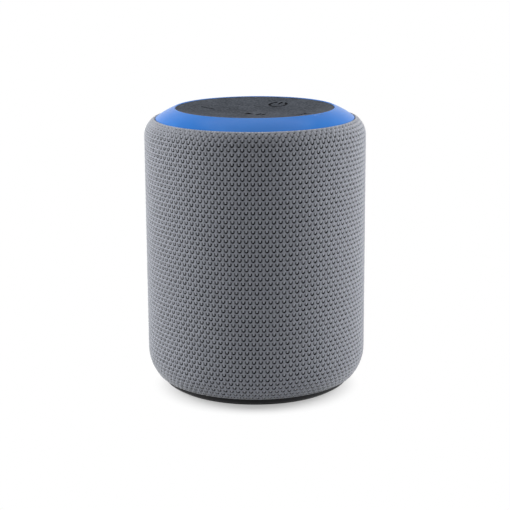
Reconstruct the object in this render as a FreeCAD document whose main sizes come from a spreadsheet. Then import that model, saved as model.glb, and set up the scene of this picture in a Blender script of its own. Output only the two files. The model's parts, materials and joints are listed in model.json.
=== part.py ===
import FreeCAD, Part
import math
import os

import Sketcher

# A cylindrical table-top speaker with voice pick-up. It stands on the XY plane, centred on the
# Z axis, with its front towards -Y and its sockets towards +Y. Every length is in millimetres.
#
# Stack from the surface upwards: rubber foot, base cover, lower frame, bass chamber, cabinet with
# battery and main board, cabinet lid with the driver, treble chamber, top carrier with the key
# board, and the dished control pad in its ring. A perforated sleeve in a knitted cover is trapped
# between the lower frame and the top carrier.

# ---------------------------------------------------------------- driving dimensions

SIZES = [
    # overall shape
    ("body_diameter", 80.0),
    ("body_height", 102.5),
    ("fabric_thickness", 0.9),
    ("fabric_lay", 0.3),
    ("sleeve_wall", 1.8),
    ("top_roll", 7.6),
    ("top_roll_width", 3.7),
    ("bottom_roll", 15.0),
    ("bottom_roll_width", 4.0),
    ("hem_height", 3.2),
    ("top_lip", 2.4),
    ("bottom_lip", 3.75),
    ("slot_count", 30),
    ("slot_width", 4.0),
    # ring, pad and keys
    ("ring_width", 7.6),
    ("ring_rise", 3.7),
    ("ring_crown", 28.0),
    ("ring_gap", 0.25),
    ("ring_step", 0.35),
    ("ring_wall", 2.1),
    ("ring_edge_round", 0.4),
    ("skirt_length", 3.5),
    ("pad_ledge", 2.6),
    ("ledge_thickness", 1.3),
    ("pad_gap", 0.15),
    ("pad_sink", 0.35),
    ("pad_thickness", 1.6),
    ("pad_bead", 2.2),
    ("pad_edge_depth", 3.0),
    ("dish_depth", 2.6),
    ("key_radius", 5.4),
    ("key_gap", 0.3),
    ("key_flange", 0.9),
    ("key_flange_thickness", 0.8),
    ("key_flange_gap", 0.3),
    ("key_margin", 0.6),
    ("key_travel", 0.4),
    ("stem_radius", 1.5),
    ("symbol_depth", 0.3),
    ("symbol_stroke", 0.95),
    ("symbol_size", 7.0),
    ("pinhole_radius", 0.35),
    # key board and its switches
    ("key_board_drop", 8.9),
    ("key_board_thickness", 1.2),
    ("key_board_margin", 3.0),
    ("switch_side", 5.2),
    ("switch_height", 1.6),
    ("plunger_radius", 1.2),
    ("plunger_height", 1.5),
    ("plunger_show", 0.7),
    ("running_gap", 0.08),
    # top carrier
    ("carrier_depth", 14.5),
    ("carrier_floor", 2.0),
    ("carrier_wall", 2.3),
    ("fit_gap", 0.1),
    ("sleeve_fit", 0.3),
    # cabinet
    ("cabinet_gap", 0.8),
    ("cabinet_wall", 2.2),
    ("lid_thickness", 2.2),
    ("seal_thickness", 0.8),
    ("spigot_length", 3.0),
    ("lower_chamber", 8.0),
    ("upper_chamber", 8.0),
    ("post_inset", 4.5),
    ("post_radius", 2.4),
    ("boss_length", 7.0),
    # lower frame, cover and foot
    ("frame_disc", 2.6),
    ("reflector_radius", 15.0),
    ("reflector_height", 3.0),
    ("cover_floor", 2.2),
    ("cover_gap", 0.3),
    ("cover_edge_round", 1.5),
    ("cover_wall", 2.0),
    ("base_inset", 7.3),
    ("foot_height", 0.9),
    ("foot_seat", 0.6),
    ("foot_width", 10.6),
    ("foot_edge_round", 0.4),
    ("cover_screw_inset", 6.3),
    # screws
    ("screw_radius", 1.0),
    ("screw_hole", 1.2),
    ("screw_head_radius", 2.0),
    ("screw_head_height", 1.2),
    ("screw_length", 7.0),
    ("small_screw_length", 4.0),
    ("recess_radius", 0.8),
    ("recess_depth", 0.7),
    # driver
    ("driver_flange", 22.4),
    ("driver_flange_inner", 18.4),
    ("driver_flange_thickness", 1.2),
    ("driver_gasket_thickness", 0.6),
    ("driver_cutout", 19.4),
    ("basket_depth", 9.4),
    ("basket_wall", 1.0),
    ("basket_floor_radius", 13.4),
    ("basket_window", 7.0),
    ("tag_spacing", 3.4),
    ("top_plate_radius", 15.2),
    ("top_plate_thickness", 2.0),
    ("magnet_radius", 15.6),
    ("magnet_bore", 9.0),
    ("magnet_thickness", 4.6),
    ("yoke_thickness", 2.0),
    ("pole_radius", 6.3),
    ("coil_radius", 6.8),
    ("coil_clearance", 0.45),
    ("former_thickness", 0.15),
    ("winding_thickness", 0.3),
    ("winding_length", 4.0),
    ("cone_radius", 14.8),
    ("cone_thickness", 0.4),
    ("cone_depth", 5.6),
    ("dust_cap_rise", 2.0),
    ("surround_thickness", 0.4),
    ("surround_landing", 0.8),
    ("spider_radius", 12.4),
    ("spider_shelf", 1.6),
    # passive radiator
    ("passive_cutout", 18.2),
    ("passive_frame_radius", 21.6),
    ("passive_frame_inner", 17.0),
    ("passive_frame_thickness", 1.2),
    ("passive_plate_radius", 13.4),
    ("passive_plate_thickness", 1.2),
    ("passive_landing", 1.2),
    ("passive_weight_radius", 8.0),
    ("passive_weight_thickness", 2.0),
    # battery
    ("cell_radius", 9.1),
    ("cell_length", 50.0),
    ("cell_offset", 2.0),
    ("cell_clear", 5.0),
    ("saddle_thickness", 3.6),
    ("saddle_inset", 0.4),
    ("rail_wall", 2.0),
    ("strap_thickness", 0.8),
    # main board and sockets
    ("board_width", 30.0),
    ("board_height", 28.0),
    ("board_thickness", 1.6),
    ("board_setback", 12.9),
    ("board_lift", 3.3),
    ("socket_height", 9.0),
    ("socket_spacing", 12.0),
    ("usb_width", 8.94),
    ("usb_height", 3.26),
    ("usb_wall", 0.3),
    ("usb_depth", 8.0),
    ("jack_bore", 1.8),
    ("jack_nose", 2.9),
    ("jack_body", 7.0),
    ("panel_width", 26.0),
    ("panel_height", 11.0),
    ("panel_sink", 0.15),
    ("panel_floor", 2.1),
    ("panel_rim", 1.2),
    ("panel_gap", 0.2),
    ("socket_gap", 0.25),
    # internal leads
    ("ribbon_width", 6.0),
    ("ribbon_thickness", 0.4),
    ("lead_radius", 0.6),
]

doc = FreeCAD.newDocument("speaker")
sheet = doc.addObject("Spreadsheet::Sheet", "Sizes")
for row, (alias, amount) in enumerate(SIZES, start=1):
    sheet.set(f"A{row}", alias)
    sheet.set(f"B{row}", str(amount))
    sheet.setAlias(f"B{row}", alias)
doc.recompute()


class Size:
    """A number worked out from the sheet, with the expression that keeps it bound to the sheet."""

    def __init__(self, value, text):
        self.value = float(value)
        self.text = text

    def __add__(self, other):
        other = as_size(other)
        return Size(self.value + other.value, f"({self.text} + {other.text})")

    def __radd__(self, other):
        return as_size(other) + self

    def __sub__(self, other):
        other = as_size(other)
        return Size(self.value - other.value, f"({self.text} - {other.text})")

    def __rsub__(self, other):
        return as_size(other) - self

    def __mul__(self, other):
        other = as_size(other)
        return Size(self.value * other.value, f"({self.text} * {other.text})")

    def __rmul__(self, other):
        return as_size(other) * self

    def __truediv__(self, other):
        other = as_size(other)
        return Size(self.value / other.value, f"({self.text} / {other.text})")

    def __neg__(self):
        return Size(-self.value, f"(0 - {self.text})")


def as_size(value):
    return value if isinstance(value, Size) else Size(value, repr(float(value)))


def root(size):
    return Size(math.sqrt(size.value), f"sqrt({size.text})")


def leg(hypotenuse, other_leg):
    """The second short side of a right triangle."""
    return root(hypotenuse * hypotenuse - other_leg * other_leg)


def at_angle(radius, degrees):
    """x and y of the point at that radius and angle round the Z axis."""
    turn = math.radians(degrees)
    x = Size(math.cos(turn), f"cos({degrees} deg)")
    y = Size(math.sin(turn), f"sin({degrees} deg)")
    return as_size(radius) * x, as_size(radius) * y


S = {alias: Size(amount, f"Sizes.{alias}") for alias, amount in SIZES}

# A domed or dished surface ends in a flat of this radius, so that it has no pole on the axis.
FLAT = 0.3


# ---------------------------------------------------------------- features bound to the sheet

used_names = {}


def new_name(name):
    used_names[name] = used_names.get(name, 0) + 1
    return f"{name}_{used_names[name]}"


def bind(feature, prop, size):
    feature.setExpression(prop, as_size(size).text)


def place(feature, x, y, z, direction="Z"):
    """Puts a primitive at a bound place, with its own Z axis along +Z, +X or +Y."""
    turns = {
        "Z": FreeCAD.Rotation(),
        "X": FreeCAD.Rotation(FreeCAD.Vector(0, 1, 0), 90),
        "Y": FreeCAD.Rotation(FreeCAD.Vector(1, 0, 0), -90),
    }
    feature.Placement = FreeCAD.Placement(FreeCAD.Vector(0, 0, 0), turns[direction])
    for axis, size in zip("xyz", (x, y, z)):
        bind(feature, f"Placement.Base.{axis}", size)
    return feature


def cylinder(name, radius, height, x=0, y=0, z=0, direction="Z"):
    made = doc.addObject("Part::Cylinder", new_name(name))
    bind(made, "Radius", radius)
    bind(made, "Height", height)
    return place(made, x, y, z, direction)


def box(name, width, depth, height, x, y, z):
    """A box centred on x and y that stands on z."""
    made = doc.addObject("Part::Box", new_name(name))
    bind(made, "Length", width)
    bind(made, "Width", depth)
    bind(made, "Height", height)
    return place(made, x - as_size(width) / 2, y - as_size(depth) / 2, z)


def fuse(name, *pieces):
    made = doc.addObject("Part::MultiFuse", new_name(name))
    made.Shapes = list(pieces)
    return made


def common(name, base, tool):
    made = doc.addObject("Part::Common", new_name(name))
    made.Base = base
    made.Tool = tool
    return made


def cut(name, base, *tools):
    made = doc.addObject("Part::Cut", new_name(name))
    made.Base = base
    made.Tool = tools[0] if len(tools) == 1 else fuse(name + "_tools", *tools)
    return made


def group(name, pieces):
    """Separate solids that share one node."""
    made = doc.addObject("Part::Compound", new_name(name))
    made.Links = list(pieces)
    return made


def closed_outline(sketch, corners):
    """Draws a closed outline in a sketch, with every corner's place bound to the sheet.

    A corner is (x, y). It is (x, y, radius) where an arc leads on to the next corner: the arc's
    centre lies to the left of the way along it, or to the right where the radius is negative.
    """
    count = len(corners)
    first_edge = len(sketch.Geometry)
    spots = [(as_size(c[0]), as_size(c[1])) for c in corners]
    starts, ends = [], []
    for i, corner in enumerate(corners):
        here = FreeCAD.Vector(spots[i][0].value, spots[i][1].value, 0)
        there = FreeCAD.Vector(spots[(i + 1) % count][0].value, spots[(i + 1) % count][1].value, 0)
        if len(corner) == 2:
            sketch.addGeometry(Part.LineSegment(here, there), False)
            starts.append(1)
            ends.append(2)
            continue
        radius = as_size(corner[2])
        side = 1 if radius.value > 0 else -1
        chord = there - here
        left = FreeCAD.Vector(-chord.y, chord.x, 0).normalize()
        reach = math.sqrt(max(radius.value**2 - (chord.Length / 2) ** 2, 0.0))
        centre = (here + there) * 0.5 + left * (side * reach)
        circle = Part.Circle(centre, FreeCAD.Vector(0, 0, 1), abs(radius.value))
        first, last = (here, there) if side > 0 else (there, here)
        begin = math.atan2(first.y - centre.y, first.x - centre.x)
        finish = math.atan2(last.y - centre.y, last.x - centre.x)
        if finish < begin:
            finish += 2 * math.pi
        sketch.addGeometry(Part.ArcOfCircle(circle, begin, finish), False)
        starts.append(1 if side > 0 else 2)
        ends.append(2 if side > 0 else 1)
    for i in range(count):
        following = (i + 1) % count
        joined = (first_edge + i, ends[i], first_edge + following, starts[following])
        sketch.addConstraint(Sketcher.Constraint("Coincident", *joined))
    for i, corner in enumerate(corners):
        edge, end = first_edge + i, starts[i]
        for kind, size, axis in (("DistanceX", spots[i][0], -2), ("DistanceY", spots[i][1], -1)):
            if abs(size.value) < 1e-9:
                sketch.addConstraint(Sketcher.Constraint("PointOnObject", edge, end, axis))
                continue
            index = sketch.addConstraint(Sketcher.Constraint(kind, -1, 1, edge, end, size.value))
            sketch.setExpression(f"Constraints[{index}]", size.text)
        if len(corner) == 3:
            radius = as_size(corner[2])
            if radius.value < 0:
                radius = -radius
            index = sketch.addConstraint(Sketcher.Constraint("Radius", edge, radius.value))
            sketch.setExpression(f"Constraints[{index}]", radius.text)


def new_body(name):
    return doc.addObject("PartDesign::Body", new_name(name))


def sketch_on(body, plane, name):
    made = body.newObject("Sketcher::SketchObject", new_name(name))
    support = [o for o in body.Origin.OriginFeatures if o.Role == plane][0]
    made.AttachmentSupport = (support, [""])
    made.MapMode = "FlatFace"
    return made


def revolved(name, corners):
    """A body turned about the Z axis from an outline of (radius, height) corners."""
    body = new_body(name)
    sketch = sketch_on(body, "XZ_Plane", name + "_section")
    closed_outline(sketch, corners)
    turned = body.newObject("PartDesign::Revolution", new_name(name + "_turned"))
    turned.Profile = sketch
    turned.ReferenceAxis = (sketch, ["V_Axis"])
    turned.Angle = 360
    return body


def rounded_edges(body, name, radius, spots):
    """Rounds the circular edges of a body that have the given (radius, height)."""
    doc.recompute()
    last = body.Tip
    names = []
    for number, edge in enumerate(last.Shape.Edges, start=1):
        if not isinstance(edge.Curve, Part.Circle):
            continue
        for ring_radius, height in spots:
            near = abs(edge.Curve.Radius - ring_radius.value) < 1e-4
            if near and abs(edge.Curve.Center.z - height.value) < 1e-4:
                names.append(f"Edge{number}")
    made = body.newObject("PartDesign::Fillet", new_name(name))
    made.Base = (last, sorted(set(names)))
    bind(made, "Radius", radius)
    body.Tip = made
    return body


def extruded(name, plane, corners, start, length, rounding=None):
    """A body pushed out of an outline on one of its origin planes, from start over length."""
    body = new_body(name)
    sketch = sketch_on(body, plane, name + "_outline")
    closed_outline(sketch, corners)
    bind(sketch, "AttachmentOffset.Base.z", start)
    pad = body.newObject("PartDesign::Pad", new_name(name + "_pad"))
    pad.Profile = sketch
    bind(pad, "Length", length)
    if rounding is not None:
        doc.recompute()
        names = []
        for number, edge in enumerate(pad.Shape.Edges, start=1):
            along = edge.tangentAt(edge.FirstParameter)
            if abs(along.dot(sketch_normal(plane))) > 0.999:
                names.append(f"Edge{number}")
        rounded = body.newObject("PartDesign::Fillet", new_name(name + "_corners"))
        rounded.Base = (pad, names)
        bind(rounded, "Radius", rounding)
        body.Tip = rounded
    return body


def sketch_normal(plane):
    return {
        "XY_Plane": FreeCAD.Vector(0, 0, 1),
        "XZ_Plane": FreeCAD.Vector(0, -1, 0),
        "YZ_Plane": FreeCAD.Vector(1, 0, 0),
    }[plane]


def rectangle(x, y, width, height):
    """The corners of a rectangle centred on x and y."""
    right, up = as_size(width) / 2, as_size(height) / 2
    return [(x - right, y - up), (x + right, y - up), (x + right, y + up), (x - right, y + up)]


def rear_block(name, x, z, width, height, start, length, rounding=None):
    """A rounded block that runs along +Y from start, centred on x and z."""
    # The XZ plane's own normal points along -Y, so the block starts at minus its far end.
    return extruded(name, "XZ_Plane", rectangle(x, z, width, height), -(start + length), length, rounding)


def screw(name, length, x, y, z, up):
    """A pan-head screw whose head seats at z. Its shank points up or down."""
    head_z = z - S["screw_head_height"] if up else z
    shank_z = z if up else z - length
    recess_z = head_z if up else z + S["screw_head_height"] - S["recess_depth"]
    head = cylinder(name + "_head", S["screw_head_radius"], S["screw_head_height"], x, y, head_z)
    shank = cylinder(name + "_shank", S["screw_radius"], length, x, y, shank_z)
    recess = doc.addObject("Part::Prism", new_name(name + "_recess"))
    recess.Polygon = 6
    bind(recess, "Circumradius", S["recess_radius"])
    bind(recess, "Height", S["recess_depth"])
    place(recess, x, y, recess_z)
    return cut(name, fuse(name + "_blank", head, shank), recess)


def on_circle(maker, radius, angles):
    """What maker(x, y) builds, once at each angle round the Z axis."""
    return [maker(*at_angle(radius, angle)) for angle in angles]


nodes = {}


def node(name, feature):
    """Names a finished sub-part."""
    feature.Label = name
    nodes[name] = feature
    return feature


# ---------------------------------------------------------------- places shared by the pieces

CORNER_ANGLES = (45, 135, 225, 315)
SIDE_ANGLES = (0, 90, 180, 270)

body_radius = S["body_diameter"] / 2
height = S["body_height"]
joint_radius = body_radius - S["top_roll_width"]
joint_height = height - S["ring_rise"]
hem_radius = body_radius - S["bottom_roll_width"]

# Both rolls are arcs tangent to the wall; these are the heights of their centres.
top_roll_reach = S["top_roll"] - S["top_roll_width"]
bottom_roll_reach = S["bottom_roll"] - S["bottom_roll_width"]
top_roll_z = joint_height - leg(S["top_roll"], top_roll_reach)
bottom_roll_z = S["hem_height"] + leg(S["bottom_roll"], bottom_roll_reach)

fabric_inner = body_radius - S["fabric_thickness"]
fabric_top_roll = S["top_roll"] - S["fabric_thickness"]
fabric_bottom_roll = S["bottom_roll"] - S["fabric_thickness"]
sleeve_radius = fabric_inner - S["fabric_lay"]
sleeve_top_roll = fabric_top_roll - S["fabric_lay"]
sleeve_bottom_roll = fabric_bottom_roll - S["fabric_lay"]
sleeve_top = top_roll_z + leg(sleeve_top_roll, top_roll_reach)
sleeve_bottom = bottom_roll_z - leg(sleeve_bottom_roll, bottom_roll_reach)
sleeve_inner = sleeve_radius - S["sleeve_wall"]
top_lip_z = sleeve_top - S["top_lip"]
bottom_lip_z = sleeve_bottom + S["bottom_lip"]

frame_top = bottom_lip_z + S["frame_disc"]
cabinet_bottom = frame_top + S["lower_chamber"]
cabinet_floor = cabinet_bottom + S["cabinet_wall"]
carrier_bottom = height - S["carrier_depth"]
carrier_floor = carrier_bottom + S["carrier_floor"]
lid_top = carrier_bottom - S["upper_chamber"]
lid_bottom = lid_top - S["lid_thickness"]
cabinet_rim = lid_bottom - S["seal_thickness"]
cabinet_radius = sleeve_inner - S["cabinet_gap"]
cabinet_inner = cabinet_radius - S["cabinet_wall"]
frame_radius = sleeve_inner - S["sleeve_fit"]
post_circle = cabinet_radius - S["post_inset"]
lid_screw_circle = cabinet_inner - S["cabinet_wall"]

board_face = cabinet_inner - S["board_setback"]
board_back = board_face + S["board_thickness"]
board_z = cabinet_floor + S["board_lift"]
board_top = board_z + S["board_height"]
socket_z = board_z + S["socket_height"]
usb_x = -(S["socket_spacing"] / 2)
jack_x = S["socket_spacing"] / 2
panel_face = body_radius - S["panel_sink"]
panel_floor_y = panel_face - S["panel_floor"]

ring_inner = joint_radius - S["ring_width"]
ring_outer = joint_radius - S["ring_gap"]
ledge_inner = ring_inner - S["pad_ledge"]
pad_radius = ring_inner - S["pad_gap"]
pad_rim_z = height - S["pad_sink"]
pad_foot_z = pad_rim_z - S["pad_edge_depth"]
pad_centre_z = pad_rim_z - S["dish_depth"]
dish_sphere = (pad_radius * pad_radius + S["dish_depth"] * S["dish_depth"]) / (2 * S["dish_depth"])
dish_centre_z = pad_centre_z + dish_sphere
key_flange_radius = S["key_radius"] + S["key_flange"]
key_circle = ledge_inner - key_flange_radius - S["key_margin"]

key_board_top = height - S["key_board_drop"]
key_board_bottom = key_board_top - S["key_board_thickness"]
key_board_radius = ledge_inner - S["key_board_margin"] + S["key_flange"]
plunger_top = key_board_top + S["switch_height"] + S["plunger_show"]


def dish_z(depth, radius):
    """The height, at a radius, of the surface that lies that depth below the pad's dished top."""
    return dish_centre_z - leg(dish_sphere + depth, as_size(radius))


# ---------------------------------------------------------------- foot, cover and lower frame


def make_base():
    foot_radius = body_radius - S["base_inset"]
    foot_inner = foot_radius - S["foot_width"]
    foot_top = S["foot_height"]
    seat_top = foot_top + S["foot_seat"]
    cover_radius = hem_radius - S["cover_gap"]
    rim_round = S["cover_edge_round"]
    screw_circle = foot_radius - S["cover_screw_inset"]

    edge = S["foot_edge_round"]
    foot = revolved(
        "foot",
        [
            (foot_inner, edge, edge),
            (foot_inner + edge, 0),
            (foot_radius - edge, 0, edge),
            (foot_radius, edge),
            (foot_radius, foot_top),
            (foot_radius - 1.0, foot_top),
            (foot_radius - 1.0, seat_top),
            (foot_inner + 1.0, seat_top),
            (foot_inner + 1.0, foot_top),
            (foot_inner, foot_top),
        ],
    )
    node("rubber_foot", foot)

    # The cover is a shallow cup with a groove for the foot, closed against the frame's disc.
    floor_top = seat_top + S["cover_floor"]
    cup = revolved(
        "cover",
        [
            (0, foot_top),
            (foot_inner + 1.0, foot_top),
            (foot_inner + 1.0, seat_top),
            (foot_radius - 1.0, seat_top),
            (foot_radius - 1.0, foot_top),
            (cover_radius - rim_round, foot_top, rim_round),
            (cover_radius, foot_top + rim_round),
            (cover_radius, bottom_lip_z),
            (cover_radius - S["cover_wall"], bottom_lip_z),
            (cover_radius - S["cover_wall"], floor_top),
            (0, floor_top),
        ],
    )
    boss_height = bottom_lip_z - floor_top
    head_seat = seat_top + S["screw_head_height"]

    def boss(x, y):
        return cylinder("cover_boss", 2 * S["screw_head_radius"], boss_height, x, y, floor_top)

    def shank_hole(x, y):
        return cylinder("cover_hole", S["screw_hole"], bottom_lip_z - seat_top, x, y, seat_top)

    def head_hole(x, y):
        wide = S["screw_head_radius"] + S["fit_gap"]
        return cylinder("cover_head_hole", wide, S["screw_head_height"], x, y, seat_top)

    bosses = on_circle(boss, screw_circle, CORNER_ANGLES)
    holes = on_circle(shank_hole, screw_circle, CORNER_ANGLES)
    holes += on_circle(head_hole, screw_circle, CORNER_ANGLES)
    node("base_cover", cut("cover", fuse("cover_blank", cup, *bosses), *holes))

    cover_screw_length = bottom_lip_z - head_seat + S["frame_disc"] - 0.6

    def cover_screw(x, y):
        return screw("cover_screw", cover_screw_length, x, y, head_seat, up=True)

    node("base_screws", group("cover_screws", on_circle(cover_screw, screw_circle, CORNER_ANGLES)))

    # The frame's disc rests on the sleeve's lower lip; a low cone turns the bass outwards.
    disc = revolved(
        "frame",
        [
            (0, bottom_lip_z),
            (frame_radius, bottom_lip_z),
            (frame_radius, frame_top),
            (S["reflector_radius"], frame_top, -4 * S["reflector_radius"]),
            (FLAT, frame_top + S["reflector_height"]),
            (0, frame_top + S["reflector_height"]),
        ],
    )

    def post(x, y):
        return cylinder("frame_post", S["post_radius"], cabinet_bottom - frame_top, x, y, frame_top)

    def post_hole(x, y):
        return cylinder("frame_hole", S["screw_hole"], cabinet_bottom - bottom_lip_z, x, y, bottom_lip_z)

    def post_head(x, y):
        deep = S["screw_head_height"] + S["frame_disc"] / 2
        return cylinder("frame_head", S["screw_head_radius"] + S["fit_gap"], deep, x, y, bottom_lip_z)

    def pilot(x, y):
        return cylinder("frame_pilot", S["screw_radius"], S["frame_disc"] - 0.5, x, y, bottom_lip_z)

    posts = on_circle(post, post_circle, CORNER_ANGLES)
    holes = on_circle(post_hole, post_circle, CORNER_ANGLES)
    holes += on_circle(post_head, post_circle, CORNER_ANGLES)
    holes += on_circle(pilot, screw_circle, CORNER_ANGLES)
    node("lower_frame", cut("frame", fuse("frame_blank", disc, *posts), *holes))

    head_seat_up = bottom_lip_z + S["screw_head_height"] + S["frame_disc"] / 2
    long_shank = cabinet_bottom - head_seat_up + S["screw_length"]

    def frame_screw(x, y):
        return screw("frame_screw", long_shank, x, y, head_seat_up, up=True)

    node("frame_screws", group("frame_screws", on_circle(frame_screw, post_circle, CORNER_ANGLES)))


# ---------------------------------------------------------------- sleeve and knitted cover


def panel_opening(name, gap):
    """The block that opens a wall for the socket panel, with a gap all round."""
    width = S["panel_width"] + 2 * gap
    tall = S["panel_height"] + 2 * gap
    corner = S["panel_height"] / 3
    return rear_block(name, as_size(0), socket_z, width, tall, cabinet_inner, S["board_setback"], corner)


def make_sleeve():
    fabric = revolved(
        "fabric",
        [
            (hem_radius, S["hem_height"], S["bottom_roll"]),
            (body_radius, bottom_roll_z),
            (body_radius, top_roll_z, S["top_roll"]),
            (joint_radius, joint_height),
            (joint_radius, top_roll_z + leg(fabric_top_roll, top_roll_reach), -fabric_top_roll),
            (fabric_inner, top_roll_z),
            (fabric_inner, bottom_roll_z, -fabric_bottom_roll),
            (hem_radius, bottom_roll_z - leg(fabric_bottom_roll, bottom_roll_reach)),
        ],
    )
    node("fabric_sleeve", cut("fabric", fabric, panel_opening("fabric_opening", S["panel_gap"])))

    sleeve = revolved(
        "sleeve",
        [
            (hem_radius, sleeve_bottom, sleeve_bottom_roll),
            (sleeve_radius, bottom_roll_z),
            (sleeve_radius, top_roll_z, sleeve_top_roll),
            (joint_radius, sleeve_top),
            (joint_radius, top_lip_z),
            (sleeve_inner, top_lip_z),
            (sleeve_inner, bottom_lip_z),
            (hem_radius, bottom_lip_z),
        ],
    )
    # Two bands of tall slots let the sound out of the lower and the upper chamber.
    half = S["slot_width"] / 2
    pockets = []
    for band, low, high in (
        ("lower", frame_top, cabinet_bottom),
        ("upper", lid_top, carrier_bottom),
    ):
        sketch = sketch_on(sleeve, "XZ_Plane", band + "_slot")
        closed_outline(
            sketch,
            [
                (half, low + half),
                (half, high - half, half * 1.05),
                (-half, high - half),
                (-half, low + half, half * 1.05),
            ],
        )
        pocket = sleeve.newObject("PartDesign::Pocket", new_name(band + "_slot_cut"))
        pocket.Profile = sketch
        pocket.Type = "ThroughAll"
        pockets.append(pocket)
    doc.recompute()
    pattern = sleeve.newObject("PartDesign::PolarPattern", new_name("slot_ring"))
    pattern.Originals = pockets
    pattern.Axis = ([o for o in sleeve.Origin.OriginFeatures if o.Role == "Z_Axis"][0], [""])
    pattern.Angle = 360
    bind(pattern, "Occurrences", S["slot_count"])
    sleeve.Tip = pattern
    node("grille_sleeve", cut("sleeve", sleeve, panel_opening("sleeve_opening", S["panel_gap"])))


# ---------------------------------------------------------------- cabinet


def make_cabinet():
    # A tube with a floor; the floor has the passive radiator's hole.
    shell = revolved(
        "cabinet",
        [
            (S["passive_cutout"], cabinet_bottom),
            (cabinet_radius, cabinet_bottom),
            (cabinet_radius, cabinet_rim),
            (cabinet_inner, cabinet_rim),
            (cabinet_inner, cabinet_floor),
            (S["passive_cutout"], cabinet_floor),
        ],
    )
    boss_radius = S["cabinet_wall"] + 0.4

    def floor_boss(x, y):
        return cylinder("floor_boss", S["post_radius"], S["boss_length"], x, y, cabinet_floor)

    def floor_pilot(x, y):
        return cylinder("floor_pilot", S["screw_radius"], S["screw_length"] + 0.5, x, y, cabinet_bottom)

    def rim_boss(x, y):
        return cylinder("rim_boss", boss_radius, S["boss_length"], x, y, cabinet_rim - S["boss_length"])

    def rim_pilot(x, y):
        deep = S["screw_length"] - S["seal_thickness"]
        return cylinder("rim_pilot", S["screw_radius"], deep, x, y, cabinet_rim - deep)

    added = on_circle(floor_boss, post_circle, CORNER_ANGLES)
    added += on_circle(rim_boss, lid_screw_circle, SIDE_ANGLES)
    holes = on_circle(floor_pilot, post_circle, CORNER_ANGLES)
    holes += on_circle(rim_pilot, lid_screw_circle, SIDE_ANGLES)

    # Two grooved rails stand on the floor and take the edges of the main board.
    rail = 2 * S["rail_wall"]
    for side in (-1, 1):
        x = side * (S["board_width"] / 2)
        y = board_face + S["board_thickness"] / 2
        deep = S["board_thickness"] + rail
        added.append(box("board_rail", rail, deep, board_top - cabinet_floor - 6, x, y, cabinet_floor))
    slot_width = S["board_width"] + S["fit_gap"]
    slot_y = board_face + S["board_thickness"] / 2
    slot_depth = S["board_thickness"] + S["fit_gap"]
    holes.append(box("board_slot", slot_width, slot_depth, S["board_height"], 0, slot_y, board_z))
    usb_wide = S["usb_width"] + 2 * S["socket_gap"]
    usb_tall = S["usb_height"] + 2 * S["socket_gap"]
    reach = S["board_setback"] + S["cabinet_wall"]
    holes.append(rear_block("usb_way", usb_x, socket_z, usb_wide, usb_tall, board_back, reach))
    nose = S["jack_nose"] + S["socket_gap"]
    holes.append(cylinder("jack_way", nose, reach, jack_x, board_back, socket_z, "Y"))
    # The rails' outer corners are trimmed to the tube, so that they never pass through its wall.
    blank = fuse("cabinet_blank", shell, *added)
    bound = cylinder("cabinet_bound", cabinet_radius, cabinet_rim - cabinet_bottom, 0, 0, cabinet_bottom)
    node("cabinet_body", cut("cabinet", common("cabinet_trim", blank, bound), *holes))

    seal = revolved(
        "seal",
        [
            (cabinet_inner, cabinet_rim),
            (cabinet_radius, cabinet_rim),
            (cabinet_radius, lid_bottom),
            (cabinet_inner, lid_bottom),
        ],
    )
    node("cabinet_seal", seal)

    spigot = cabinet_inner - S["sleeve_fit"]
    lid = revolved(
        "lid",
        [
            (S["driver_cutout"], lid_bottom),
            (cabinet_radius, lid_bottom),
            (cabinet_radius, lid_top),
            (S["driver_cutout"], lid_top),
        ],
    )

    def lid_post(x, y):
        return cylinder("lid_post", S["post_radius"], S["upper_chamber"], x, y, lid_top)

    def post_pilot(x, y):
        deep = S["screw_length"]
        return cylinder("post_pilot", S["screw_radius"], deep, x, y, carrier_bottom - deep)

    def lid_hole(x, y):
        return cylinder("lid_hole", S["screw_hole"], S["lid_thickness"], x, y, lid_bottom)

    def driver_pilot(x, y):
        return cylinder("driver_pilot", S["screw_radius"], S["lid_thickness"], x, y, lid_bottom)

    # A centring ring hangs below the lid, notched where the rim's screw bosses stand.
    centring = revolved(
        "centring",
        [
            (spigot - S["cabinet_wall"] / 2, lid_bottom - S["spigot_length"]),
            (spigot, lid_bottom - S["spigot_length"]),
            (spigot, lid_bottom),
            (spigot - S["cabinet_wall"] / 2, lid_bottom),
        ],
    )

    def notch(x, y):
        wide = boss_radius + S["fit_gap"]
        return cylinder("boss_notch", wide, S["spigot_length"], x, y, lid_bottom - S["spigot_length"])

    notched = cut("centring", centring, *on_circle(notch, lid_screw_circle, SIDE_ANGLES))
    holes = on_circle(post_pilot, post_circle, CORNER_ANGLES)
    holes += on_circle(lid_hole, lid_screw_circle, SIDE_ANGLES)
    holes += on_circle(driver_pilot, driver_screw_circle, SIDE_ANGLES)
    ribbon_slot = ribbon_opening("lid_slot", lid_bottom, S["lid_thickness"])
    posts = on_circle(lid_post, post_circle, CORNER_ANGLES)
    node("cabinet_lid", cut("lid", fuse("lid_blank", lid, notched, *posts), ribbon_slot, *holes))

    def lid_screw(x, y):
        return screw("lid_screw", S["screw_length"] + S["lid_thickness"] - 1, x, y, lid_top, up=False)

    node("lid_screws", group("lid_screws", on_circle(lid_screw, lid_screw_circle, SIDE_ANGLES)))


# ---------------------------------------------------------------- driver and passive radiator

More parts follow.
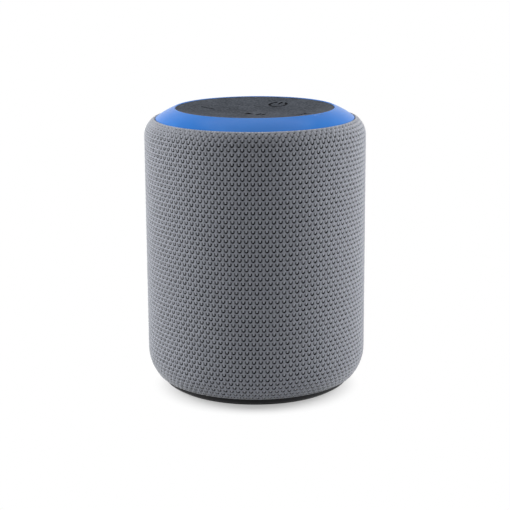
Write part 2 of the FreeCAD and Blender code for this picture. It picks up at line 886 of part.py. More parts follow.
gasket_top = lid_top + S["driver_gasket_thickness"]
flange_top = gasket_top + S["driver_flange_thickness"]
basket_bottom = gasket_top - S["basket_depth"]
top_plate_z = basket_bottom - S["top_plate_thickness"]
magnet_z = top_plate_z - S["magnet_thickness"]
yoke_z = magnet_z - S["yoke_thickness"]
driver_screw_circle = (S["driver_flange"] + S["driver_flange_inner"]) / 2 + 0.6
coil_outer = S["coil_radius"] + S["former_thickness"] + S["winding_thickness"]
gap_radius = coil_outer + S["coil_clearance"]
cone_top = flange_top
neck_z = cone_top - S["cone_depth"]
spider_z = basket_bottom + S["basket_wall"] + S["spider_shelf"]
window_z = spider_z + 1.0
window_height = gasket_top - 1.4 - window_z
tag_strip_y = S["driver_flange_inner"] - S["basket_wall"] * 2


def half_roll(inner, outer, land_inner, land_outer, z, skin):
    """The outline of a rolled surround, glued at z: it rolls upwards, or down for a negative skin."""
    side = 1 if skin.value > 0 else -1
    thick = side * skin
    middle = (inner + outer) / 2
    near_half = (outer - inner) / 2 - thick
    near_arc = near_half * 1.05
    drop = leg(near_arc, near_half)
    far_half = leg(near_arc + thick, drop + thick)
    return [
        (land_inner, z),
        (middle - near_half, z, -side * near_arc),
        (middle + near_half, z),
        (land_outer, z),
        (land_outer, z + skin),
        (middle + far_half, z + skin, side * (near_arc + thick)),
        (middle - far_half, z + skin),
        (land_inner, z + skin),
    ]


def make_driver():
    screw_hole = S["screw_radius"] + S["fit_gap"]

    def flange_hole(x, y):
        return cylinder("flange_hole", screw_hole, flange_top - lid_top, x, y, lid_top)

    def flange_holes():
        return on_circle(flange_hole, driver_screw_circle, SIDE_ANGLES)

    gasket = revolved(
        "gasket",
        [
            (S["driver_cutout"], lid_top),
            (S["driver_flange"], lid_top),
            (S["driver_flange"], gasket_top),
            (S["driver_cutout"], gasket_top),
        ],
    )
    node("driver_gasket", cut("gasket", gasket, *flange_holes()))

    # The basket narrows from its flange to a floor ring on the magnet's top plate. A shelf part
    # of the way down carries the spider.
    wall = S["basket_wall"]
    shelf_inner = S["spider_radius"] - 1.0
    shelf_outer = S["spider_radius"] + 0.2
    basket = revolved(
        "basket",
        [
            (gap_radius, basket_bottom),
            (S["basket_floor_radius"], basket_bottom),
            (S["driver_flange_inner"] + wall / 2, gasket_top),
            (S["driver_flange"], gasket_top),
            (S["driver_flange"], flange_top),
            (S["driver_flange_inner"], flange_top),
            (S["driver_flange_inner"] - wall / 2, gasket_top),
            (shelf_outer, spider_z + 0.4),
            (shelf_outer, spider_z),
            (shelf_inner, spider_z),
            (shelf_inner, basket_bottom + wall),
            (gap_radius, basket_bottom + wall),
        ],
    )
    windows = []
    for angle in SIDE_ANGLES:
        deep = S["driver_flange_inner"]
        x, y = at_angle(S["driver_flange_inner"] - wall / 2, angle)
        across = S["basket_window"] if angle in (90, 270) else deep / 2
        along = deep / 2 if angle in (90, 270) else S["basket_window"]
        windows.append(box("window", across, along, window_height, x, y, window_z))
    node("driver_basket", cut("basket", basket, *windows, *flange_holes()))

    def driver_screw(x, y):
        return screw("driver_screw", S["small_screw_length"], x, y, flange_top, up=False)

    screws = on_circle(driver_screw, driver_screw_circle, SIDE_ANGLES)
    node("driver_screws", group("driver_screws", screws))

    plate = revolved(
        "top_plate",
        [
            (gap_radius, top_plate_z),
            (S["top_plate_radius"], top_plate_z),
            (S["top_plate_radius"], basket_bottom),
            (gap_radius, basket_bottom),
        ],
    )
    node("driver_top_plate", plate)
    magnet = revolved(
        "magnet",
        [
            (S["magnet_bore"], magnet_z),
            (S["magnet_radius"], magnet_z),
            (S["magnet_radius"], top_plate_z),
            (S["magnet_bore"], top_plate_z),
        ],
    )
    node("driver_magnet", magnet)
    yoke = revolved(
        "yoke",
        [
            (0, yoke_z),
            (S["top_plate_radius"], yoke_z),
            (S["top_plate_radius"], magnet_z),
            (S["pole_radius"], magnet_z),
            (S["pole_radius"], basket_bottom),
            (0, basket_bottom),
        ],
    )
    node("driver_yoke", yoke)

    # Everything below moves together: former, winding, cone and dust cap.
    former_outer = S["coil_radius"] + S["former_thickness"]
    winding_bottom = basket_bottom - S["top_plate_thickness"] / 2 - S["winding_length"] / 2
    former = revolved(
        "former",
        [
            (S["coil_radius"], winding_bottom),
            (former_outer, winding_bottom),
            (former_outer, neck_z + 0.6),
            (S["coil_radius"], neck_z + 0.6),
        ],
    )
    node("coil_former", former)
    winding = revolved(
        "winding",
        [
            (former_outer, winding_bottom),
            (coil_outer, winding_bottom),
            (coil_outer, winding_bottom + S["winding_length"]),
            (former_outer, winding_bottom + S["winding_length"]),
        ],
    )
    node("coil_winding", winding)
    thick = S["cone_thickness"]
    cone = revolved(
        "cone",
        [
            (former_outer, neck_z - thick),
            (former_outer + 0.6, neck_z - thick, -5 * S["cone_depth"]),
            (S["cone_radius"] - 0.8, cone_top - thick),
            (S["cone_radius"], cone_top - thick),
            (S["cone_radius"], cone_top),
            (S["cone_radius"] - 1.1, cone_top, 5 * S["cone_depth"]),
            (former_outer + 0.4, neck_z),
            (former_outer, neck_z),
        ],
    )
    node("driver_cone", cone)
    # The dome is a cap of a sphere that stands on the former's end.
    dome_z = neck_z + 0.6
    rise = S["dust_cap_rise"]
    dome = (former_outer * former_outer + rise * rise) / (2 * rise)
    cap = revolved(
        "dust_cap",
        [
            (0, dome_z + rise - thick),
            (FLAT, dome_z + rise - thick, -(dome - thick)),
            (leg(dome - thick, dome - rise), dome_z),
            (former_outer, dome_z, dome),
            (FLAT, dome_z + rise),
            (0, dome_z + rise),
        ],
    )
    node("driver_dust_cap", cap)

    # The surround is a half roll between the cone's edge and the basket's flange.
    skin = S["surround_thickness"]
    land_inner = S["cone_radius"] - S["surround_landing"] / 2
    land_outer = S["driver_flange_inner"] + S["surround_landing"] / 2
    rolled = half_roll(S["cone_radius"], S["driver_flange_inner"], land_inner, land_outer, flange_top, skin)
    node("driver_surround", revolved("surround", rolled))

    # The spider is a disc with two corrugations, from the former to the basket's shelf.
    inner, outer = former_outer, S["spider_radius"]
    wave = (outer - inner - 1.6) / 2
    spider = revolved(
        "spider",
        [
            (inner, spider_z),
            (inner + 0.6, spider_z, -wave),
            (inner + 0.6 + wave, spider_z, wave),
            (outer - 1.0, spider_z),
            (outer, spider_z),
            (outer, spider_z + skin),
            (outer - 1.0, spider_z + skin, -wave),
            (inner + 0.6 + wave, spider_z + skin, wave),
            (inner + 0.6, spider_z + skin),
            (inner, spider_z + skin),
        ],
    )
    node("driver_spider", spider)

    # The tag strip closes the rear window of the basket and carries two solder tags.
    strip = box("tag_strip", S["basket_window"], 1.0, window_height, 0, tag_strip_y, window_z)
    tags = []
    for side in (-1, 1):
        x, y = side * S["tag_spacing"] / 2, tag_strip_y + 1.3
        tags.append(box("tag", 1.4, 1.8, 0.3, x, y, window_z + window_height / 2))
    node("driver_terminals", fuse("terminals", strip, *tags))


def make_passive_radiator():
    frame_bottom = cabinet_bottom - S["passive_frame_thickness"]
    frame = revolved(
        "passive_frame",
        [
            (S["passive_frame_inner"], frame_bottom),
            (S["passive_frame_radius"], frame_bottom),
            (S["passive_frame_radius"], cabinet_bottom),
            (S["passive_frame_inner"], cabinet_bottom),
        ],
    )
    node("passive_frame", frame)
    plate_bottom = frame_bottom
    plate_top = plate_bottom + S["passive_plate_thickness"]
    plate = revolved(
        "passive_plate",
        [
            (0, plate_bottom),
            (S["passive_plate_radius"], plate_bottom),
            (S["passive_plate_radius"], plate_top),
            (0, plate_top),
        ],
    )
    node("passive_plate", plate)
    weight_radius, weight_height = S["passive_weight_radius"], S["passive_weight_thickness"]
    node("passive_weight", cylinder("passive_weight", weight_radius, weight_height, 0, 0, plate_top))
    # The surround is glued on the lower faces of the plate and the frame, and rolls downwards.
    inner = S["passive_plate_radius"]
    outer = S["passive_frame_inner"]
    land = S["passive_landing"]
    skin = -S["surround_thickness"]
    rolled = half_roll(inner, outer, inner - land, outer + land, frame_bottom, skin)
    node("passive_surround", revolved("passive_surround", rolled))


# ---------------------------------------------------------------- battery


def make_battery():
    axis_y = -S["cell_offset"]
    axis_z = cabinet_floor + S["cell_clear"] + S["cell_radius"]
    half = S["cell_length"] / 2
    cell = cylinder("cell", S["cell_radius"], S["cell_length"] - 1.2, -half + 0.6, axis_y, axis_z, "X")
    end = cylinder("cell_end", S["cell_radius"] * 0.9, 0.6, -half, axis_y, axis_z, "X")
    button = cylinder("cell_button", S["cell_radius"] * 0.35, 0.6, half - 0.6, axis_y, axis_z, "X")
    node("battery_cell", fuse("cell", cell, end, button))

    # Two saddles stand on the cabinet's floor either side of the passive radiator, joined by rails.
    bed = S["cell_radius"] + S["fit_gap"]
    saddle_depth = 2 * (S["cell_radius"] + 0.5)
    saddle_x = half - S["saddle_inset"] - S["saddle_thickness"] / 2
    saddle_top = axis_z - S["cell_radius"] / 4
    parts = []
    for side in (-1, 1):
        x = side * saddle_x
        tall = saddle_top - cabinet_floor
        parts.append(box("saddle", S["saddle_thickness"], saddle_depth, tall, x, axis_y, cabinet_floor))
    rail_y = saddle_depth / 2 - S["rail_wall"] / 2
    rail_z = cabinet_floor + S["cell_clear"] + 1.0
    for side in (-1, 1):
        y = axis_y + side * rail_y
        parts.append(box("saddle_rail", 2 * saddle_x, S["rail_wall"], S["rail_wall"], 0, y, rail_z))
    bed_cut = cylinder("bed", bed, S["cell_length"], -half, axis_y, axis_z, "X")
    node("battery_cradle", cut("cradle", fuse("cradle_blank", *parts), bed_cut))

    straps = []
    for side in (-1, 1):
        start = side * saddle_x - S["saddle_thickness"] / 2
        width = S["saddle_thickness"]
        over = cylinder("strap", bed + S["strap_thickness"], width, start, axis_y, axis_z, "X")
        hollow = cylinder("strap_hollow", bed, width, start, axis_y, axis_z, "X")
        keep_depth = 3 * saddle_depth
        tall = 3 * S["cell_radius"]
        keep = box("strap_keep", width, keep_depth, tall, side * saddle_x, axis_y, saddle_top)
        straps.append(common("strap", cut("strap_ring", over, hollow), keep))
    node("battery_straps", group("straps", straps))


# ---------------------------------------------------------------- main board and sockets


def make_main_board():
    middle = board_face + S["board_thickness"] / 2
    board = box("board", S["board_width"], S["board_thickness"], S["board_height"], 0, middle, board_z)
    node("main_board", board)

    # The screening can over the processor and the radio is on the board's inner face.
    can = box("can", 13.0, 2.2, 11.0, -6, board_face - 1.1, board_z + 4)
    hollow = box("can_hollow", 12.4, 1.9, 10.4, -6, board_face - 0.95, board_z + 4.3)
    node("processor_shield", cut("can", can, hollow))

    coil = box("inductor", 5.0, 3.0, 5.0, 5.5, board_face - 1.5, board_z + 6)
    second = box("inductor", 5.0, 3.0, 5.0, 5.5, board_face - 1.5, board_z + 13)
    amplifier = box("amplifier", 5.0, 1.0, 5.0, -1.5, board_face - 0.5, board_z + 18)
    capacitor = cylinder("capacitor", 2.0, 5.4, 11.0, board_face - 5.4, board_z + 10, "Y")
    node("board_components", group("components", [coil, second, amplifier, capacitor]))

    plug_z = board_top - 5.0
    ribbon_plug = box("ribbon_plug", S["ribbon_width"] + 2, 1.2, 2.4, ribbon_x, board_face - 0.6, plug_z)
    speaker_plug = box("speaker_plug", 5.0, 2.4, 3.0, lead_x, board_face - 1.2, plug_z)
    battery_plug = box("battery_plug", 5.0, 2.4, 3.0, battery_plug_x, board_face - 1.2, battery_plug_z)
    node("board_connectors", group("connectors", [ribbon_plug, speaker_plug, battery_plug]))

    # USB-C socket: a flat oval tube with a tongue, on a raised base that stands on the board.
    long = panel_floor_y - board_back
    mouth = panel_floor_y - S["usb_depth"]
    corner = S["usb_height"] / 2 * 0.98
    shell = rear_block("usb", usb_x, socket_z, S["usb_width"], S["usb_height"], board_back, long, corner)
    wall = 2 * S["usb_wall"]
    inner_width, inner_height = S["usb_width"] - wall, S["usb_height"] - wall
    inner_corner = inner_height / 2 * 0.98
    inside = rear_block("usb_inside", usb_x, socket_z, inner_width, inner_height, mouth, long, inner_corner)
    tongue_length = S["usb_depth"] - 1.0
    tongue = box("usb_tongue", 6.7, tongue_length, 0.7, usb_x, mouth + tongue_length / 2, socket_z - 0.35)
    node("usb_socket", fuse("usb", cut("usb_shell", shell, inside), tongue))

    # 3.5 mm socket: a block on the board with a round nose that reaches the panel's floor.
    block_depth = leg(cabinet_inner, jack_x + S["jack_body"] / 2) - S["sleeve_fit"] - board_back
    block_y = board_back + block_depth / 2
    block_z = socket_z - S["jack_body"] / 2
    block = box("jack_block", S["jack_body"], block_depth, S["jack_body"], jack_x, block_y, block_z)
    nose = cylinder("jack_nose", S["jack_nose"], long, jack_x, board_back, socket_z, "Y")
    bore = cylinder("jack_bore", S["jack_bore"], long, jack_x, board_back + 0.8, socket_z, "Y")
    node("audio_socket", cut("jack", fuse("jack_blank", block, nose), bore))


def make_socket_panel():
    """The moulded panel round the sockets, flush with the knitted cover."""
    outside = panel_opening("panel_block", as_size(0))
    band_low = socket_z - S["panel_height"]
    tall = 2 * S["panel_height"]
    band = cylinder("panel_outer", panel_face, tall, 0, 0, band_low)
    core = cylinder("panel_core", cabinet_radius + S["sleeve_fit"], tall, 0, 0, band_low)
    blank = common("panel_curved", outside, cut("panel_band", band, core))
    rim = 2 * S["panel_rim"]
    dish = rear_block(
        "panel_dish",
        as_size(0),
        socket_z,
        S["panel_width"] - rim,
        S["panel_height"] - rim,
        panel_floor_y,
        S["board_setback"],
        S["panel_height"] / 3 - S["panel_rim"] / 2,
    )
    usb_wide = S["usb_width"] + 2 * S["socket_gap"]
    usb_tall = S["usb_height"] + 2 * S["socket_gap"]
    reach = S["board_setback"] + S["cabinet_wall"]
    usb_round = usb_tall * 0.49
    usb_hole = rear_block("panel_usb", usb_x, socket_z, usb_wide, usb_tall, board_back, reach, usb_round)
    nose = S["jack_nose"] + S["socket_gap"]
    jack_hole = cylinder("panel_jack", nose, reach, jack_x, board_back, socket_z, "Y")
    node("port_panel", cut("panel", blank, dish, usb_hole, jack_hole))


# ---------------------------------------------------------------- leads held inside

ribbon_x = as_size(-5.3)
ribbon_y = S["driver_flange"] + 1.2
lead_x = as_size(4.0)
battery_plug_x = as_size(10.5)
battery_plug_z = board_z + 17.0


def ribbon_opening(name, z, tall):
    return box(name, S["ribbon_width"] + 1.6, S["ribbon_thickness"] + 1.6, tall, ribbon_x, ribbon_y, z)


def bent_path(points, bend):
    """Straight runs through the points, joined by tangent arcs of one radius."""
    edges = []
    here = points[0]
    for i in range(1, len(points) - 1):
        back = (points[i - 1] - points[i]).normalize()
        ahead = (points[i + 1] - points[i]).normalize()
        turn = math.pi - back.getAngle(ahead)
        setback = bend * math.tan(turn / 2)
        start = points[i] + back * setback
        stop = points[i] + ahead * setback
        inward = (back + ahead).normalize()
        middle = points[i] + inward * (bend / math.cos(turn / 2) - bend)
        edges.append(Part.LineSegment(here, start).toShape())
        edges.append(Part.Arc(start, middle, stop).toShape())
        here = stop
    edges.append(Part.LineSegment(here, points[-1]).toShape())
    return Part.Wire(edges)


def round_lead(points, radius, bend):
    path = bent_path(points, bend)
    along = (points[1] - points[0]).normalize()
    ring = Part.Wire([Part.Circle(points[0], along, radius).toShape()])
    return path.makePipeShell([ring], True, False)


def shaped(name, shape):
    made = doc.addObject("Part::Feature", new_name(name))
    made.Shape = shape
    return made


def make_leads():
    face = board_face.value
    # Flat ribbon: under the key board, down through the carrier and the lid, then on to its plug.
    thick, wide = S["ribbon_thickness"].value, S["ribbon_width"].value
    x, y = ribbon_x.value, ribbon_y.value
    top = key_board_bottom.value - thick / 2
    plug_top = board_top.value - 5.0 + 2.4
    entry = face - thick / 2 - 0.2
    low = plug_top + 3.5
    points = [
        FreeCAD.Vector(x, y - 6.0, top),
        FreeCAD.Vector(x, y, top),
        FreeCAD.Vector(x, y, low + 4.0),
        FreeCAD.Vector(x, entry, low),
        FreeCAD.Vector(x, entry, plug_top),
    ]
    path = bent_path(points, 1.2)
    section = Part.makePolygon(
        [
            points[0] + FreeCAD.Vector(-wide / 2, 0, -thick / 2),
            points[0] + FreeCAD.Vector(wide / 2, 0, -thick / 2),
            points[0] + FreeCAD.Vector(wide / 2, 0, thick / 2),
            points[0] + FreeCAD.Vector(-wide / 2, 0, thick / 2),
            points[0] + FreeCAD.Vector(-wide / 2, 0, -thick / 2),
        ]
    )
    node("ribbon_cable", shaped("ribbon", path.makePipeShell([section], True, False)))

    # Speaker leads: from the two tags down past the magnet to their plug.
    radius = S["lead_radius"].value
    tag_y = tag_strip_y.value + 1.5
    tag_z = (window_z + window_height / 2).value
    plug_z = board_top.value - 5.0 + 3.0
    plug_y = face - 1.2
    leads = []
    for side in (-1, 1):
        tag_x = side * S["tag_spacing"].value / 2
        end_x = lead_x.value + side * 1.1
        points = [
            FreeCAD.Vector(tag_x, tag_y, tag_z),
            FreeCAD.Vector(tag_x, tag_y, plug_z + 6.0),
            FreeCAD.Vector(end_x, plug_y, plug_z + 3.0),
            FreeCAD.Vector(end_x, plug_y, plug_z),
        ]
        leads.append(shaped("speaker_lead", round_lead(points, radius, 1.0)))
    node("speaker_leads", group("speaker_leads", leads))

    # Battery leads: from the cell's two ends, round its side and back to their plug.
    half = S["cell_length"].value / 2
    axis_y = -S["cell_offset"].value
    axis_z = (cabinet_floor + S["cell_clear"] + S["cell_radius"]).value
    plug_x = battery_plug_x.value
    plug_bottom = battery_plug_z.value + 1.5
    behind = axis_y + S["cell_radius"].value + S["strap_thickness"].value + 4.7
    points = [
        FreeCAD.Vector(half + radius, axis_y + 2.0, axis_z),
        FreeCAD.Vector(half + radius, axis_y + 10.0, axis_z),
        FreeCAD.Vector(half - 4.0, behind, axis_z + 2.0),
        FreeCAD.Vector(plug_x + 1.1, behind, plug_bottom),
        FreeCAD.Vector(plug_x + 1.1, face - 2.4, plug_bottom),
    ]
    positive = shaped("battery_lead", round_lead(points, radius, 1.6))
    points = [
        FreeCAD.Vector(-half - radius, axis_y + 2.0, axis_z),
        FreeCAD.Vector(-half - radius, axis_y + 10.0, axis_z),
        FreeCAD.Vector(-half + 4.0, behind, axis_z),
        FreeCAD.Vector(plug_x - 1.1, behind, axis_z),
        FreeCAD.Vector(plug_x - 1.1, behind, plug_bottom),
        FreeCAD.Vector(plug_x - 1.1, face - 2.4, plug_bottom),
    ]
    negative = shaped("battery_lead", round_lead(points, radius, 1.6))
    node("battery_leads", group("battery_leads", [positive, negative]))


# ---------------------------------------------------------------- top carrier, ring and pad

KEYS = {
    "volume_down": 180,
    "volume_up": 0,
    "power": 90,
    "microphone": 270,
    "play_pause": None,
}
PINHOLES = {"microphone": 135, "status_led": 45}


def key_place(angle):
    """x and y of a key, which is in the middle where it has no angle."""
    if angle is None:
        return as_size(0), as_size(0)
    return at_angle(key_circle, angle)


def make_top_carrier():
    wall_outer = frame_radius
    wall_inner = wall_outer - S["carrier_wall"]
    rim = top_lip_z - S["fit_gap"]
    shelf_z = top_lip_z - S["skirt_length"]
    shelf_inner = wall_inner - S["ring_wall"] - S["fit_gap"]
    tray = revolved(
        "carrier",
        [
            (0, carrier_bottom),
            (wall_outer, carrier_bottom),
            (wall_outer, rim),
            (wall_inner, rim),
            (wall_inner, carrier_floor),
            (0, carrier_floor),
        ],
    )
    # Four stubs in the tray carry the ring's skirt between the screw heads.
    stub_width = S["post_radius"] * 2
    stub_x = (wall_inner + shelf_inner) / 2
    stub_deep = wall_inner - shelf_inner + 0.6

    stubs = []
    for angle in SIDE_ANGLES:
        x, y = at_angle(stub_x, angle)
        sideways = angle in (90, 270)
        across = stub_width if sideways else stub_deep
        along = stub_deep if sideways else stub_width
        stubs.append(box("ring_stub", across, along, shelf_z - carrier_floor, x, y, carrier_floor))
    board_circle = key_board_radius - S["key_board_margin"]

    def board_boss(x, y):
        tall = key_board_bottom - carrier_floor
        return cylinder("board_boss", S["post_radius"], tall, x, y, carrier_floor)

    def board_pilot(x, y):
        deep = S["small_screw_length"] - S["key_board_thickness"] + 0.2
        return cylinder("board_pilot", S["screw_radius"], deep, x, y, key_board_bottom - deep)

    def post_hole(x, y):
        return cylinder("carrier_hole", S["screw_hole"], S["carrier_floor"], x, y, carrier_bottom)

    bosses = on_circle(board_boss, board_circle, CORNER_ANGLES)
    holes = on_circle(board_pilot, board_circle, CORNER_ANGLES)
    holes += on_circle(post_hole, post_circle, CORNER_ANGLES)
    holes.append(ribbon_opening("carrier_slot", carrier_bottom, S["carrier_floor"]))
    bound = cylinder("carrier_bound", wall_outer, S["carrier_depth"], 0, 0, carrier_bottom)
    blank = common("carrier_trim", fuse("carrier_blank", tray, *stubs, *bosses), bound)
    node("top_carrier", cut("carrier", blank, *holes))

    def carrier_screw(x, y):
        return screw("carrier_screw", S["screw_length"], x, y, carrier_floor, up=False)

    screws = on_circle(carrier_screw, post_circle, CORNER_ANGLES)
    node("carrier_screws", group("carrier_screws", screws))


def make_ring():
    """The coloured ring: a crowned top, a skirt inside the carrier and a ledge under the pad."""
    skirt_outer = frame_radius - S["carrier_wall"] - S["sleeve_fit"]
    skirt_inner = skirt_outer - S["ring_wall"]
    skirt_bottom = top_lip_z - S["skirt_length"]
    flange_bottom = top_lip_z + S["fit_gap"]
    outer_edge = joint_height - S["ring_step"]
    ledge_bottom = pad_foot_z - S["ledge_thickness"]
    ring = revolved(
        "ring",
        [
            (skirt_inner, skirt_bottom),
            (skirt_outer, skirt_bottom),
            (skirt_outer, flange_bottom),
            (ring_outer, flange_bottom),
            (ring_outer, outer_edge, S["ring_crown"]),
            (ring_inner, height),
            (ring_inner, pad_foot_z),
            (ledge_inner, pad_foot_z),
            (ledge_inner, ledge_bottom),
            (skirt_inner, ledge_bottom),
        ],
    )
    edges = [(ring_inner, height), (ring_outer, outer_edge)]
    node("top_ring", rounded_edges(ring, "ring_round", S["ring_edge_round"], edges))


def dish_layer(name, top, bottom, radius):
    """A dished disc between two depths below the pad's top surface."""
    return revolved(
        name,
        [
            (0, dish_z(bottom, FLAT)),
            (FLAT, dish_z(bottom, FLAT), dish_sphere + bottom),
            (radius, dish_z(bottom, radius)),
            (radius, dish_z(top, radius), -(dish_sphere + top)),
            (FLAT, dish_z(top, FLAT)),
            (0, dish_z(top, FLAT)),
        ],
    )


def make_pad():
    bead_inner = pad_radius - S["pad_bead"]
    thick = S["pad_thickness"]
    pad = revolved(
        "pad",
        [
            (0, dish_z(thick, FLAT)),
            (FLAT, dish_z(thick, FLAT), dish_sphere + thick),
            (bead_inner, dish_z(thick, bead_inner)),
            (bead_inner, pad_foot_z),
            (pad_radius, pad_foot_z),
            (pad_radius, pad_rim_z, -dish_sphere),
            (FLAT, dish_z(as_size(0), FLAT)),
            (0, dish_z(as_size(0), FLAT)),
        ],
    )
    holes = []
    low = pad_centre_z - 2 * thick
    for angle in KEYS.values():
        x, y = key_place(angle)
        holes.append(cylinder("key_hole", S["key_radius"] + S["key_gap"], height - low, x, y, low))
    for angle in PINHOLES.values():
        x, y = at_angle(key_circle, angle)
        holes.append(cylinder("pinhole", S["pinhole_radius"], height - low, x, y, low))
    node("top_pad", cut("pad", pad, *holes))


# ---------------------------------------------------------------- symbols and keys


def bar(x, y, width, depth):
    """One straight stroke of a symbol, as a tall block."""
    return box("stroke", width, depth, S["dish_depth"] * 3, x, y, pad_centre_z - 1)


def disc(x, y, radius):
    return cylinder("stroke", radius, S["dish_depth"] * 3, x, y, pad_centre_z - 1)


def ring_stroke(x, y, radius):
    """A circular stroke whose outer edge has that radius."""
    return cut("stroke", disc(x, y, radius), disc(x, y, radius - S["symbol_stroke"]))


def minus_symbol(x, y):
    return bar(x, y, S["symbol_size"] * 0.8, S["symbol_stroke"])


def plus_symbol(x, y):
    upright = bar(x, y, S["symbol_stroke"], S["symbol_size"] * 0.8)
    return fuse("plus", minus_symbol(x, y), upright)


def power_symbol(x, y):
    """A ring that is open at the top, with a stroke in the opening."""
    size, stroke = S["symbol_size"], S["symbol_stroke"]
    opening = bar(x, y + size / 2, stroke * 3, size / 2)
    hoop = cut("hoop", ring_stroke(x, y, size / 2), opening)
    return fuse("power", hoop, bar(x, y + size / 4, stroke, size / 2))


def play_pause_symbol(x, y):
    """A triangle that points right, then two upright strokes."""
    size, stroke = S["symbol_size"], S["symbol_stroke"]
    triangle = doc.addObject("Part::Prism", new_name("triangle"))
    triangle.Polygon = 3
    bind(triangle, "Circumradius", size / 3)
    bind(triangle, "Height", S["dish_depth"] * 3)
    place(triangle, x - size / 3, y, pad_centre_z - 1)
    strokes = [bar(x + size * side, y, stroke, size * 0.58) for side in (0.2, 0.45)]
    return fuse("play_pause", triangle, *strokes)


def microphone_symbol(x, y):
    """A capsule in a half hoop on a short stand."""
    size, stroke = S["symbol_size"], S["symbol_stroke"]
    capsule = size / 6
    low, high = y + size * 0.08, y + size * 0.32
    middle = bar(x, (low + high) / 2, capsule * 2, high - low)
    body = fuse("capsule", disc(x, low, capsule), disc(x, high, capsule), middle)
    upper = bar(x, low + size / 2, size, size)
    hoop = cut("hoop", ring_stroke(x, low, size * 0.36), upper)
    stand = bar(x, low - size * 0.44, stroke, size * 0.2)
    foot = bar(x, low - size * 0.52, size * 0.4, stroke * 0.8)
    return fuse("microphone", body, hoop, stand, foot)


SYMBOLS = {
    "volume_down": minus_symbol,
    "volume_up": plus_symbol,
    "power": power_symbol,
    "microphone": microphone_symbol,
    "play_pause": play_pause_symbol,
}


def make_keys():
    """Five keys cut from the same dished sheet as the pad, each with a stem over its switch."""
    flange_top_depth = S["pad_thickness"] + S["key_flange_gap"]
    cap_depth = flange_top_depth + S["key_flange_thickness"]
    cap_sheet = dish_layer("cap_sheet", as_size(0), cap_depth, pad_radius)
    flange_sheet = dish_layer("flange_sheet", flange_top_depth, cap_depth, pad_radius)
    engraving = dish_layer("engraving", as_size(-1), S["symbol_depth"], pad_radius)
    tall = height - key_board_top
    for key, angle in KEYS.items():
        x, y = key_place(angle)
        cap = common("cap", cap_sheet, cylinder("cap", S["key_radius"], tall, x, y, key_board_top))
        flange_tool = cylinder("key_flange", key_flange_radius, tall, x, y, key_board_top)
        flange = common("key_flange", flange_sheet, flange_tool)
        radius = as_size(0) if angle is None else key_circle
        stem_top = dish_z(cap_depth - S["key_flange_thickness"] / 2, radius)
        stem = cylinder("stem", S["stem_radius"], stem_top - plunger_top, x, y, plunger_top)
        mark = common("mark", SYMBOLS[key](x, y), engraving)
        node("key_" + key, cut("key", fuse("key_blank", cap, flange, stem), mark))
        plunger_z = plunger_top - S["plunger_height"]
        plunger = cylinder("plunger", S["plunger_radius"], S["plunger_height"], x, y, plunger_z)
        node("plunger_" + key, plunger)


def make_key_board():
    screw_circle = key_board_radius - S["key_board_margin"]
    board = cylinder("key_board", key_board_radius, S["key_board_thickness"], 0, 0, key_board_bottom)

    def board_hole(x, y):
        return cylinder("board_hole", S["screw_hole"], S["key_board_thickness"], x, y, key_board_bottom)

    node("key_board", cut("key_board", board, *on_circle(board_hole, screw_circle, CORNER_ANGLES)))

    def board_screw(x, y):
        return screw("key_board_screw", S["small_screw_length"], x, y, key_board_top, up=False)

    screws = on_circle(board_screw, screw_circle, CORNER_ANGLES)
    node("key_board_screws", group("key_board_screws", screws))

    switches = []
    well_radius = S["plunger_radius"] + S["running_gap"]
    well_z = plunger_top - S["plunger_height"] - S["key_travel"] - 0.1
    for angle in KEYS.values():
        x, y = key_place(angle)
        side = S["switch_side"]
        body = box("switch", side, side, S["switch_height"], x, y, key_board_top)
        well = cylinder("well", well_radius, S["switch_height"], x, y, well_z)
        switches.append(cut("switch", body, well))
    node("switch_bodies", group("switches", switches))

    x, y = at_angle(key_circle - 5.0, PINHOLES["microphone"])
    capsule = box("capsule", 3.5, 2.65, 1.0, x, y, key_board_top)
    port = cylinder("capsule_port", 0.3, 0.4, x, y, key_board_top + 0.6)
    node("microphone_capsule", cut("capsule", capsule, port))
    x, y = at_angle(key_circle - 5.0, PINHOLES["status_led"])
    node("status_led", box("led", 2.0, 1.25, 0.8, x, y, key_board_top))


# ---------------------------------------------------------------- build and write

make_base()
make_sleeve()
make_cabinet()
make_driver()
make_passive_radiator()
make_battery()
make_main_board()
make_socket_panel()
make_leads()
make_top_carrier()
make_ring()
make_pad()
make_keys()
make_key_board()
doc.recompute()

for feature in doc.Objects:
    if {"Invalid", "Error"} & set(feature.State):
        raise RuntimeError(f"{feature.Name} failed: {feature.State}")
    if feature.TypeId == "Sketcher::SketchObject" and feature.solve() != 0:
        raise RuntimeError(f"{feature.Name} does not solve")
for name, feature in nodes.items():
    shape = feature.Shape
    if shape.isNull() or not shape.isValid() or not shape.Solids:
        raise RuntimeError(f"{name} has no valid solid")

os.makedirs("parts", exist_ok=True)
for name, feature in nodes.items():
    feature.Shape.exportStep(f"parts/{name}.step")
print(len(nodes), "nodes written")
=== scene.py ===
# %% [markdown]
# # A table speaker with a knitted cover
#
# The object is a short cylinder. A knitted grey cover wraps a plastic sleeve, a lacquered blue ring
# closes the top, and a dark dished pad with five keys sits inside the ring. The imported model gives
# every place and size; this lesson adds the surfaces that the eye reads: the loops of the knit, the
# soft edges of the mouldings and what each of them is made of.
#
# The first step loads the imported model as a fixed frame. Its nodes stay where they are. A node
# whose shape is right only gets a material, and a node that needs more detail is replaced.

import functools
import json
import math

import bpy
import numpy as np
from mathutils import Matrix, Vector


